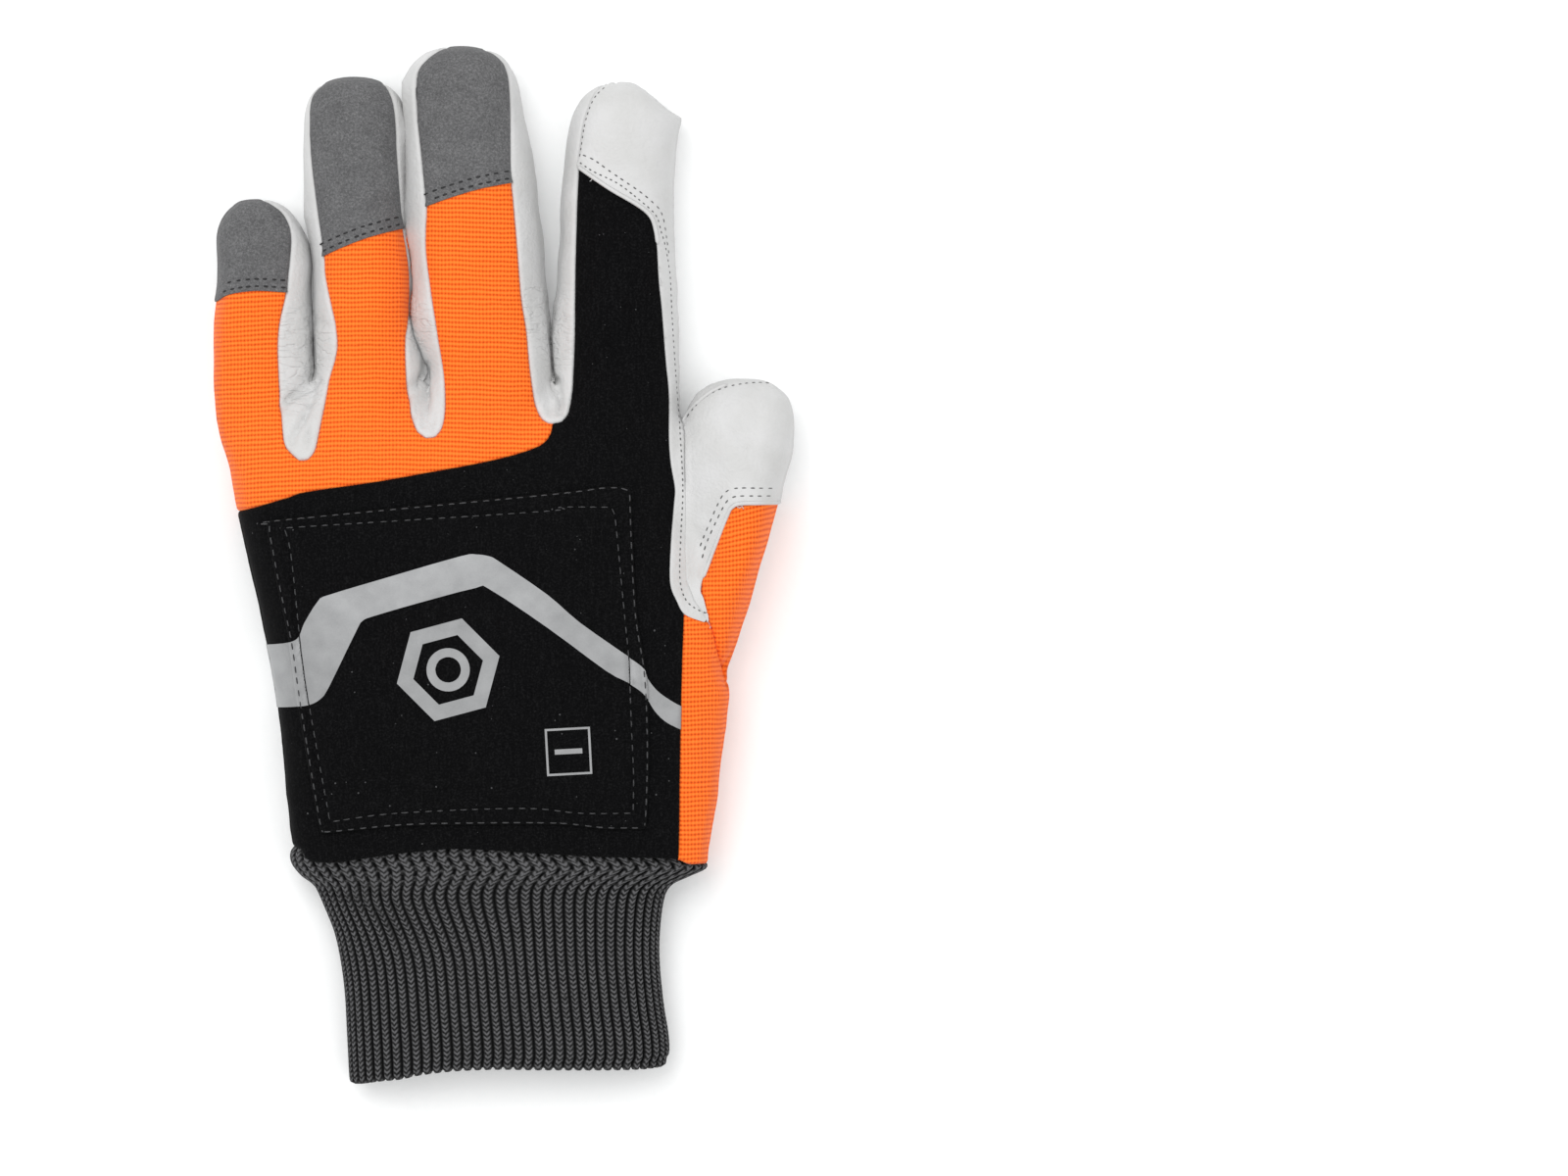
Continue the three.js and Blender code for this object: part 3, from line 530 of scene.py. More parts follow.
def claim(name, value, within):
    points, faces, owner, value = splitAt(skin["points"], skin["faces"], value)
    marks = skin["label"][owner]
    allowed = np.isin(marks, [label[part] for part in within])
    marks[allowed & sideOf(faces, value)] = label[name]
    skin.update(points=points, faces=faces, label=marks)


# Soft shape of the cloth before it is cut: hollows along lines, depth down the normal
shapeSetup = {
    "knuckleRow": 395, "knuckleBand": 46, "knuckleRounds": 260,
    "waveSize": 21 * mm, "waveDepth": 0.55 * mm, "fineSize": 7 * mm, "fineDepth": 0.16 * mm,
}
folds = [
    {"line": [(566, 388), (570, 402), (572, 420)], "width": 0.9, "depth": 1.9},
    {"line": [(738, 440), (760, 432), (782, 436)], "width": 7, "depth": 1.3},
    {"line": [(324, 388), (318, 393), (308, 399), (297, 406), (289, 415)], "width": 0.9, "depth": 1.6},
    {"line": [(320, 398), (313, 420), (302, 442), (299, 452)], "width": 0.9, "depth": 1.5},
    {"line": [(312, 426), (314.5, 440), (315, 456)], "width": 0.8, "depth": 1.0},
    {"line": [(434.5, 372), (431, 402), (424, 424)], "width": 0.9, "depth": 1.3},
    {"line": [(432.5, 388), (435, 407), (434, 434)], "width": 0.9, "depth": 1.9},
    {"line": [(440.5, 418), (443, 438)], "width": 0.8, "depth": 0.9},
    {"line": [(289, 318), (298, 322), (308, 320)], "width": 0.9, "depth": 0.4},
    {"line": [(319, 328), (331, 333), (343, 334)], "width": 0.9, "depth": 0.4},
    {"line": [(562.2, 405), (561, 422)], "width": 0.8, "depth": 0.9},
    {"line": [(724.6, 632), (733, 664), (742, 694)], "width": 2.1, "depth": 1.3},
    {"line": [(746, 519), (738, 533), (727, 560), (717, 586)], "width": 1.1, "depth": 0.7},
]

# Where the leather between thumb and hand lies smooth
thumbFill = {"line": [(702, 462), (706, 500), (710, 550), (715, 590), (722, 625)], "reach": 6}


def shapeSkin():
    places, faces = skinPlaces, skinFaces
    rowY = px([(0, shapeSetup["knuckleRow"])])[0, 1]
    band = np.exp(-((places[:, 1] - rowY) / (shapeSetup["knuckleBand"] * photo["scale"])) ** 2)
    normal = normalsOf(places, faces)
    onTop = smoothStep((normal[:, 2] - 0.2) / 0.5) * smoothStep((places[:, 2] - 9 * mm) / (4 * mm))
    inWeb = (np.abs(skinSides[:, :3] - 0.5) < 0.499).any(axis=1)
    beside, _ = toLine(places[:, :2], drawn(thumbFill["line"]), 20 * mm)
    fill = np.exp(-((beside / (thumbFill["reach"] * mm)) ** 2)) * smoothStep((normal[:, 2] - 0.05) / 0.3)
    weight = np.maximum(band * onTop * ~inWeb, fill)
    a, b = neighboursOf(faces)
    count = np.bincount(a, minlength=len(places))
    height = places[:, 2].copy()
    for _ in range(shapeSetup["knuckleRounds"]):
        height += weight * (np.bincount(a, height[b], len(places)) / count - height)
    places = np.c_[places[:, :2], height]
    normal = normalsOf(places, faces)
    above = smoothStep((places[:, 2] - 3 * mm) / (5 * mm))
    shift = np.zeros(len(places))
    for size, depth in (("waveSize", "waveDepth"), ("fineSize", "fineDepth")):
        scale = 1 / shapeSetup[size]
        shift += shapeSetup[depth] * np.array([noise.noise(Vector(place) * scale) for place in places])
    for fold in folds:
        gap, along = toLine(places[:, :2], drawn(fold["line"]))
        ends = np.sin(np.pi * np.clip(along, 0.06, 0.94)) ** 0.5
        hollow = np.exp(-((gap / (fold["width"] * mm)) ** 2)) * (normal[:, 2] > 0.1)
        shift -= fold["depth"] * mm * ends * hollow
    places = places + normal * (shift * above)[:, None]
    places[:, 2] = np.maximum(places[:, 2], 0)
    return np.c_[places, normalsOf(places, faces), skinSides]


skin["points"] = shapeSkin()


# Each panel cut from the skin: the seam that is seen, and a way round its far side
regions = {
    "thumb_palm": (thumbPalmEdge, thumbPalmBeyond),
    "index_guard": (guardEdge, guardBeyond),
    "thumb_cap": (capEdge, capBeyond),
    "thumb_back": (creaseLine, thumbBackBeyond),
    "side_gusset": (gussetEdge, gussetBeyond),
    "hand_back": (backEdge, backBeyond),
}
for name, seam in tipSeams.items():
    regions["fingertip_" + name] = (seam, [(seam[-1][0], 10), (seam[0][0], 10)])


def inRegion(name, spots):
    seam, beyond = regions[name]
    return depthIn(spots[:, :2], np.vstack([drawn(seam), px(beyond)]))


def cutPanels():
    line = drawn(wristEdge)
    claim("cut_off", np.interp(spotsNow()[:, 0], line[:, 0], line[:, 1]) - skin["points"][:, 1], ["upper"])
    keep = skin["label"] != label["cut_off"]
    skin.update(faces=skin["faces"][keep], label=skin["label"][keep])
    claim("palm", palmSeam["height"] - skin["points"][:, 2], ["upper"])
    notchY = px([(0, skinSetup["thumbRootRow"] - 10)])[0, 1]
    thumbLine = px(skinSetup["thumbLine"])[::-1]

    def thumbSide(sign):
        x, y = spotsNow().T
        beside = x - np.interp(y, thumbLine[:, 1], thumbLine[:, 0])
        inNotch = (skin["points"][:, 9] - 0.5) * 8 * mm
        return sign * np.where(y > notchY, inNotch, np.clip(beside, -4 * mm, 4 * mm))

    claim("thumb_palm", np.minimum(inRegion("thumb_palm", spotsNow()), thumbSide(1)), ["palm"])
    for name, sides in slotSides.items():
        shape = np.vstack([drawn(sides["left"]), drawn(sides["right"]), px(sides["beyond"])])
        claim("fourchette_" + name, depthIn(spotsNow(), shape), ["upper"])
    claim("index_guard", np.minimum(inRegion("index_guard", spotsNow()), thumbSide(-1)), ["upper"])
    for name in suedeNodes:
        claim(name, inRegion(name, spotsNow()), ["upper"])
    for name in ("thumb_cap", "thumb_back"):
        claim(name, np.minimum(inRegion(name, spotsNow()), thumbSide(1)), ["upper"])
    for name in ("side_gusset", "hand_back"):
        claim(name, inRegion(name, spotsNow()), ["upper"])
    claim("saw_pad", depthIn(spotsNow(), padOutline), ["hand_back"])
    skin["label"][skin["label"] == label["upper"]] = label["knuckle_panel"]
    print("panels", {name: int((skin["label"] == i).sum()) for name, i in label.items()})


padOutline = np.vstack([drawn(run)[:-1] for run in padRows["outer"]])
padInner = np.vstack([drawn(run)[:-1] for run in padRows["inner"]])
outward = padOutline - padOutline.mean(axis=0)
padOutline = padOutline + 0.5 * mm * outward / np.linalg.norm(outward, axis=1)[:, None]
cutPanels()


def linear(code):
    parts = [int(code[i:i + 2], 16) / 255 for i in (1, 3, 5)]
    return tuple(c / 12.92 if c <= 0.04045 else ((c + 0.055) / 1.055) ** 2.4 for c in parts) + (1.0,)


# Adds a node. A setting is a property, the value of an input, or the node or socket that feeds the input.
def addNode(tree, kind, settings):
    node = tree.nodes.new("ShaderNode" + kind)
    for name, value in settings.items():
        if name == "stops":
            marks = node.color_ramp.elements
            for mark, (place, code) in zip((marks[0], marks[1]), (value[0], value[-1])):
                mark.position = place
                mark.color = linear(code)
            for place, code in value[1:-1]:
                marks.new(place).color = linear(code)
        elif isinstance(value, bpy.types.Node):
            tree.links.new(value.outputs[0], node.inputs[name])
        elif isinstance(value, bpy.types.NodeSocket):
            tree.links.new(value, node.inputs[name])
        elif isinstance(name, str) and hasattr(node, name):
            setattr(node, name, value)
        else:
            node.inputs[name].default_value = value
    return node


def newMaterial(name, settings):
    material = bpy.data.materials.new(name)
    material.use_nodes = True
    tree = material.node_tree
    shader = tree.nodes["Principled BSDF"]
    for socket, value in settings.items():
        shader.inputs[socket].default_value = value
    where = addNode(tree, "TexCoord", {}).outputs["Object"]
    return material, tree, where


# Feeds the colour and the relief to the material's shader
def coated(material, colour, relief):
    tree = material.node_tree
    shader = tree.nodes["Principled BSDF"]
    tree.links.new(colour, shader.inputs["Base Color"])
    tree.links.new(relief.outputs["Normal"], shader.inputs["Normal"])
    return material


# Where the leather is worn into cross creases: pixel of the photo and reach in mm
wrinkleSpots = [(547, 320, 5), (305, 350, 6), (326, 345, 3), (568, 350, 3), (425, 330, 4), (305, 395, 4)]


# Goat leather, dyed white and drummed soft: close grain with shallow pores and small slack wrinkles
def makeLeather():
    material, tree, where = newMaterial("goat_leather_white",
        {"Roughness": 0.5, "Specular IOR Level": 0.42})
    pores = addNode(tree, "TexVoronoi", {"feature": "SMOOTH_F1", "Vector": where, "Scale": 1 / (0.8 * mm),
        "Smoothness": 0.6})
    grain = addNode(tree, "TexNoise", {"Vector": where, "Scale": 1 / (0.5 * mm), "Detail": 4.0})
    slack = addNode(tree, "TexNoise", {"Vector": where, "Scale": 1 / (2.6 * mm), "Detail": 4.0,
        "Distortion": 1.2})
    along = addNode(tree, "Mapping", {"Vector": where, "Scale": (0.24, 1, 0.5),
        "Rotation": (0, 0, math.radians(12))})
    creases = addNode(tree, "TexNoise", {"Vector": along, "Scale": 1 / (2.4 * mm), "Detail": 2.0,
        "Distortion": 0.3})
    offLine = addNode(tree, "Math", {"operation": "SUBTRACT", 0: creases, 1: 0.5})
    toCrease = addNode(tree, "Math", {"operation": "ABSOLUTE", 0: offLine})
    crisp = addNode(tree, "MapRange", {"interpolation_type": "SMOOTHSTEP", "Value": toCrease,
        "From Min": 0.0, "From Max": 0.11})
    worn = None
    for x, y, reach in wrinkleSpots:
        spot = px([(x, y)])[0]
        away = addNode(tree, "VectorMath", {"operation": "DISTANCE", 0: where,
            1: (spot[0], spot[1], 16 * mm)})
        near = addNode(tree, "MapRange", {"interpolation_type": "SMOOTHSTEP",
            "Value": away.outputs["Value"], "From Min": reach * mm, "From Max": 1.2 * reach * mm + 7 * mm,
            "To Min": 0.7, "To Max": 0.06 if worn is None else 0.0})
        worn = near if worn is None else addNode(tree, "Math", {"operation": "MAXIMUM", 0: worn, 1: near})
    blotch = addNode(tree, "TexNoise", {"Vector": where, "Scale": 1 / (9 * mm), "Detail": 3.0})
    colour = addNode(tree, "ValToRGB", {"Fac": blotch, "stops": [(0.32, "#C3C3C2"), (0.68, "#CACACA")]})
    creased = addNode(tree, "Bump", {"Height": crisp, "Distance": 0.26 * mm, "Strength": worn})
    wrinkled = addNode(tree, "Bump", {"Height": slack, "Distance": 0.6 * mm, "Strength": 0.35,
        "Normal": creased})
    pored = addNode(tree, "Bump", {"Height": pores, "Distance": 0.14 * mm, "Strength": 0.5,
        "Normal": wrinkled})
    grained = addNode(tree, "Bump", {"Height": grain, "Distance": 0.07 * mm, "Strength": 0.4,
        "Normal": pored})
    return coated(material, colour.outputs["Color"], grained)


# Brushed microsuede: short matt nap, speckled lighter and darker where it lies another way
def makeSuede():
    material, tree, where = newMaterial("microsuede_grey",
        {"Roughness": 0.96, "Specular IOR Level": 0.12, "Sheen Weight": 0.12, "Sheen Roughness": 0.4})
    nap = addNode(tree, "TexNoise", {"Vector": where, "Scale": 1 / (0.6 * mm), "Detail": 3.0,
        "Roughness": 0.9})
    patch = addNode(tree, "TexNoise", {"Vector": where, "Scale": 1 / (5 * mm), "Detail": 2.0})
    both = addNode(tree, "Math", {"operation": "MULTIPLY_ADD", 0: patch, 1: 0.16, 2: nap})
    colour = addNode(tree, "ValToRGB", {"Fac": both,
        "stops": [(0.38, "#4A4A4B"), (0.58, "#5F5F60"), (0.8, "#7C7C7D")]})
    raised = addNode(tree, "Bump", {"Height": nap, "Distance": 0.2 * mm, "Strength": 0.5})
    return coated(material, colour.outputs["Color"], raised)


# Polyamide stretch cloth, woven in fine cross ribs: a bright dye, with painted shade darkening the hollows
# between the ribs and where the threads dive
def makeStretch():
    material, tree, where = newMaterial("stretch_weave_orange",
        {"Roughness": 0.8, "Sheen Weight": 0.08, "Specular IOR Level": 0.2})
    ribPitch, threadPitch = 1.24, 0.9
    weave = addNode(tree, "UVMap", {"uv_map": "weave"})
    wander = addNode(tree, "TexNoise", {"Vector": where, "Scale": 1 / (7 * mm), "Detail": 2.0})
    parts = addNode(tree, "SeparateXYZ", {0: weave})
    offLine = addNode(tree, "Math", {"operation": "MULTIPLY_ADD", 0: wander, 1: 0.7, 2: parts.outputs["Y"]})
    rows = addNode(tree, "Math", {"operation": "DIVIDE", 0: offLine, 1: ribPitch})
    ribAngle = addNode(tree, "Math", {"operation": "MULTIPLY", 0: rows, 1: 2 * math.pi})
    rib = addNode(tree, "Math", {"operation": "SINE", 0: ribAngle})
    threads = addNode(tree, "Math", {"operation": "MULTIPLY_ADD", 0: wander, 1: 0.5, 2: parts.outputs["X"]})
    threadAngle = addNode(tree, "Math", {"operation": "MULTIPLY", 0: threads, 1: 2 * math.pi / threadPitch})
    thread = addNode(tree, "Math", {"operation": "SINE", 0: threadAngle})
    ribPart = addNode(tree, "Math", {"operation": "MULTIPLY_ADD", 0: rib, 1: 0.3, 2: 0.5})
    level = addNode(tree, "Math", {"operation": "MULTIPLY_ADD", 0: thread, 1: 0.17, 2: ribPart})
    fuzz = addNode(tree, "TexNoise", {"Vector": where, "Scale": 1 / (0.5 * mm), "Detail": 3.0})
    shade = addNode(tree, "Math", {"operation": "MULTIPLY_ADD", 0: fuzz, 1: 0.4, 2: level})
    # Painted shade: the colour darkens where the weave's relief is low, between the ribs and the threads
    colour = addNode(tree, "ValToRGB", {"Fac": shade,
        "stops": [(0.28, "#C84606"), (0.48, "#EE5A08"), (0.95, "#FC7E2A")]})
    woven = addNode(tree, "Bump", {"Height": level, "Distance": 0.25 * mm, "Strength": 0.65})
    napped = addNode(tree, "Bump", {"Height": fuzz, "Distance": 0.05 * mm, "Strength": 0.3,
        "Normal": woven})
    return coated(material, colour.outputs["Color"], napped)


# Softshell, brushed polyester face: nearly black and matt, with faint twill and pale lint caught on it
def makeSoftshell():
    material, tree, where = newMaterial("softshell_black",
        {"Roughness": 0.94, "Specular IOR Level": 0.07, "Sheen Weight": 0.01, "Sheen Roughness": 0.5})
    face = addNode(tree, "TexNoise", {"Vector": where, "Scale": 1 / (0.5 * mm), "Detail": 4.0})
    along = addNode(tree, "Mapping", {"Vector": where, "Rotation": (0, 0, math.radians(52)),
        "Scale": (1, 0.12, 1)})
    twill = addNode(tree, "TexNoise", {"Vector": along, "Scale": 1 / (0.7 * mm), "Detail": 1.0})
    lint = addNode(tree, "TexVoronoi", {"Vector": where, "Scale": 1 / (2.3 * mm)})
    rare = addNode(tree, "TexNoise", {"Vector": where, "Scale": 1 / (6 * mm), "Detail": 2.0})
    size = addNode(tree, "Math", {"operation": "MULTIPLY_ADD", 0: rare, 1: 0.5, 2: -0.23})
    speck = addNode(tree, "Math", {"operation": "LESS_THAN", 0: lint, 1: size})
    both = addNode(tree, "Math", {"operation": "MULTIPLY_ADD", 0: twill, 1: 0.25, 2: face})
    base = addNode(tree, "ValToRGB", {"Fac": both, "stops": [(0.42, "#040405"), (0.64, "#09090A"),
        (0.86, "#171718")]})
    share = addNode(tree, "Math", {"operation": "MULTIPLY", 0: speck, 1: 0.4})
    colour = addNode(tree, "Mix", {"data_type": "RGBA", "Factor": share, "A": base.outputs["Color"],
        "B": linear("#6E6E70")})
    raised = addNode(tree, "Bump", {"Height": both, "Distance": 0.12 * mm, "Strength": 0.45})
    return coated(material, colour.outputs["Result"], raised)


# Retroreflective transfer film: glass beads in grey resin, an even satin with few flecks
def makeFilmMaterial():
    material, tree, where = newMaterial("reflective_film_silver",
        {"Roughness": 0.42, "Metallic": 0.25, "Specular IOR Level": 0.5})
    beads = addNode(tree, "TexNoise", {"Vector": where, "Scale": 1 / (0.4 * mm), "Detail": 3.0})
    wear = addNode(tree, "TexNoise", {"Vector": where, "Scale": 1 / (5 * mm), "Detail": 4.0})
    both = addNode(tree, "Math", {"operation": "MULTIPLY_ADD", 0: beads, 1: 0.4, 2: wear})
    colour = addNode(tree, "ValToRGB", {"Fac": both, "stops": [(0.3, "#868788"), (0.9, "#9A9B9C")]})
    raised = addNode(tree, "Bump", {"Height": beads, "Distance": 0.03 * mm, "Strength": 0.3})
    return coated(material, colour.outputs["Color"], raised)


# Acrylic rib knit: soft matt yarn in columns of V stitches, with painted shade darkening the narrow furrows
# between the ribs to black.
# The stitches are drawn nearly twice as coarse as real ones, which are too fine for the render.
def makeKnit():
    material, tree, where = newMaterial("rib_knit_grey",
        {"Roughness": 0.95, "Specular IOR Level": 0.12, "Sheen Weight": 0.08, "Sheen Roughness": 0.5})
    stitchHeight, rungPitch = 1.25, 2.7
    bandEnd = px([(0, 905)])[0, 1] / mm
    weave = addNode(tree, "UVMap", {"uv_map": "weave"})
    parts = addNode(tree, "SeparateXYZ", {0: weave})
    column = addNode(tree, "Math", {"operation": "FRACT", 0: parts.outputs["X"]})
    offset = addNode(tree, "Math", {"operation": "SUBTRACT", 0: column, 1: 0.5})
    offMiddle = addNode(tree, "Math", {"operation": "ABSOLUTE", 0: offset})
    slant = addNode(tree, "Math", {"operation": "MULTIPLY_ADD", 0: offMiddle, 1: -2.4,
        2: parts.outputs["Y"]})
    angle = addNode(tree, "Math", {"operation": "MULTIPLY", 0: slant, 1: 2 * math.pi / stitchHeight})
    vees = addNode(tree, "Math", {"operation": "SINE", 0: angle})
    # Painted shade: the colour falls towards black in the furrows between the ribs, and the band's rungs lift
    # it where they cross
    furrowPaintedShade = addNode(tree, "MapRange", {"interpolation_type": "SMOOTHSTEP", "Value": offMiddle,
        "From Min": 0.24, "From Max": 0.46, "To Min": 1.0, "To Max": 0.1})
    fuzz = addNode(tree, "TexNoise", {"Vector": where, "Scale": 1 / (0.6 * mm), "Detail": 4.0})
    yarn = addNode(tree, "Math", {"operation": "MULTIPLY_ADD", 0: vees, 1: 0.29, 2: fuzz})
    ribNumber = addNode(tree, "Math", {"operation": "ROUND", 0: parts.outputs["X"]})
    rungShift = addNode(tree, "Math", {"operation": "MULTIPLY", 0: ribNumber, 1: 2.4})
    rungAngle = addNode(tree, "Math", {"operation": "MULTIPLY_ADD", 0: parts.outputs["Y"],
        1: 2 * math.pi / rungPitch, 2: rungShift})
    rungWave = addNode(tree, "Math", {"operation": "SINE", 0: rungAngle})
    rung = addNode(tree, "MapRange", {"Value": rungWave, "From Min": -0.3, "From Max": 0.3})
    inBand = addNode(tree, "MapRange", {"Value": parts.outputs["Y"], "From Min": bandEnd - 2.0,
        "From Max": bandEnd + 1.0, "To Min": 0.0, "To Max": 0.62})
    bridge = addNode(tree, "Math", {"operation": "MULTIPLY", 0: rung, 1: inBand})
    bridgedFurrowShade = addNode(tree, "Math", {"operation": "MAXIMUM", 0: furrowPaintedShade, 1: bridge})
    raisedBand = addNode(tree, "Math", {"operation": "MULTIPLY_ADD", 0: inBand, 1: 0.17, 2: yarn})
    level = addNode(tree, "Math", {"operation": "MULTIPLY", 0: raisedBand, 1: bridgedFurrowShade})
    # The darkest stops are the painted shade of the furrows
    colour = addNode(tree, "ValToRGB", {"Fac": level,
        "stops": [(0.08, "#0B0B0C"), (0.28, "#1E1E1F"), (0.5, "#393939"), (0.78, "#5E5E60")]})
    raised = addNode(tree, "Bump", {"Height": yarn, "Distance": 0.16 * mm, "Strength": 0.6})
    return coated(material, colour.outputs["Color"], raised)


# Spun polyester sewing thread: a fine twist, slightly shiny
def makeThread(name, light, dark):
    material, tree, where = newMaterial(name, {"Roughness": 0.62, "Specular IOR Level": 0.35})
    twist = addNode(tree, "TexNoise", {"Vector": where, "Scale": 1 / (0.25 * mm), "Detail": 2.0})
    colour = addNode(tree, "ValToRGB", {"Fac": twist, "stops": [(0.35, dark), (0.65, light)]})
    raised = addNode(tree, "Bump", {"Height": twist, "Distance": 0.05 * mm, "Strength": 0.5})
    return coated(material, colour.outputs["Color"], raised)


leather, suede, stretch = makeLeather(), makeSuede(), makeStretch()
softshell, film, knit = makeSoftshell(), makeFilmMaterial(), makeKnit()
greyThread = makeThread("thread_grey", "#6C6C6C", "#4E4E4E")
looseThread = makeThread("thread_white", "#D8D8D8", "#B4B4B4")
darkThread = makeThread("thread_dark_grey", "#2C2C2D", "#18181A")
blackThread = makeThread("thread_black", "#48484A", "#2A2A2B")
print("materials made")

# How each panel is edged and walled. A raw edge lies on its neighbour, which runs on beneath it.
edgeSetup = {"rollWidth": 1.35 * mm, "rollDepth": 0.75 * mm, "rows": [0.22, 0.55, 0.95, 1.4],
    "rawFlat": 0.72, "rawReach": 1.3 * mm, "rawLift": 0.55 * mm, "liftFade": 5 * mm, "underlap": 3 * mm,
    "underDrop": 0.9 * mm}
rawEdges = {
    "index_guard": [guardEdge],
    "fingertip_little": [tipSeams["little"]],
    "fingertip_ring": [tipSeams["ring"]],
    "fingertip_middle": [tipSeams["middle"]],
    "thumb_cap": [capEdge],
}
softSeams = {"index_guard": [(699, 505), (699.5, 560), (701, 592), (709, 613), (718, 626), (724, 640)]}
softSeams["thumb_cap"] = softSeams["index_guard"]
under = {
    "hand_back": ["index_guard"],
    "side_gusset": ["index_guard", "thumb_cap"],
    "knuckle_panel": ["fingertip_little", "fingertip_ring", "fingertip_middle"],
    "thumb_back": ["thumb_cap", "index_guard"],
}
panelLook = {name: (leather, "white_leather", "leather", 1.1) for name in leatherNodes}
panelLook.update({name: (suede, "grey_suede", "suede", 1.1) for name in suedeNodes})
panelLook.update({name: (stretch, "orange_stretch", "stretch", 1.1) for name in stretchNodes})
panelLook["hand_back"] = (softshell, "black_softshell", "softshell", 1.6)
surfaces = []


def rimOf(faces):
    edges, key = edgesOf(faces)
    _, where, count = np.unique(key, return_index=True, return_counts=True)
    return edges[where[count == 1]]


def compact(points, faces):
    used, faces = np.unique(faces, return_inverse=True)
    return points[used], faces.reshape(-1, 3)


def rimDistance(places, rim, marks, samples=5):
    spots, tags = [], []
    for share in np.linspace(0, 1, samples, endpoint=False):
        spots.append(places[rim[:, 0]] * (1 - share) + places[rim[:, 1]] * share)
        tags.append(marks[rim[:, 0]] * (1 - share) + marks[rim[:, 1]] * share)
    spots, tags = np.vstack(spots), np.concatenate(tags)
    tree = KDTree(len(spots))
    for i, spot in enumerate(spots):
        tree.insert(spot, i)
    tree.balance()
    found = [tree.find(place) for place in places]
    return np.array([hit[2] for hit in found]), tags[[hit[1] for hit in found]]


# The closed piece: outer face, inner face and the rim between them
def wallPiece(name, outer, inner, faces, weave, material, nodes, sharp=50):
    rim = rimOf(faces)
    count = len(outer)
    sides = np.vstack([np.c_[rim[:, 1], rim[:, 0], rim[:, 0] + count],
                       np.c_[rim[:, 1], rim[:, 0] + count, rim[:, 1] + count]])
    allFaces = np.vstack([faces, faces[:, ::-1] + count, sides])
    piece = objectFrom(name, np.vstack([outer, inner]), allFaces)
    print(name, len(allFaces), "triangles")
    if weave is not None:
        layer = piece.data.uv_layers.new(name="weave")
        layer.data.foreach_set("uv", np.vstack([weave, weave])[allFaces.ravel()].ravel())
    piece.data.materials.append(material)
    pick(piece)
    bpy.ops.object.shade_smooth_by_angle(angle=math.radians(sharp))
    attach(piece, "root")
    if nodes:
        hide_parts(*nodes)
    return piece


# How the stretch cloth's ribs lie, in mm: they run round the sides, sag a little and turn on the thumb
weaveSetup = {"sideStart": 0.75, "sideHeight": 24, "sag": 0.7, "sagRun": 17, "sagStart": 0.6,
    "slope": -0.012, "thumb": (745, 600), "thumbTilt": 13, "thumbFadeY": 22, "thumbFadeX": 4}


def weaveOf(places, normals):
    x, y, z = places.T / mm
    turn = (np.abs(normals[:, 0]) - weaveSetup["sideStart"]) / (1 - weaveSetup["sideStart"])
    across = x + np.sign(normals[:, 0]) * smoothStep(turn) * (weaveSetup["sideHeight"] - z)
    along = y + weaveSetup["sag"] * np.sin(x / weaveSetup["sagRun"] + weaveSetup["sagStart"])
    along += weaveSetup["slope"] * x
    thumb = px([weaveSetup["thumb"]])[0] / mm
    tilt = math.tan(math.radians(weaveSetup["thumbTilt"]))
    tilt = tilt * smoothStep((y - thumb[1]) / weaveSetup["thumbFadeY"])
    tilt = tilt * smoothStep((x - thumb[0] + 10) / weaveSetup["thumbFadeX"])
    along -= tilt * (x - thumb[0])
    return np.stack([across, along], axis=1)


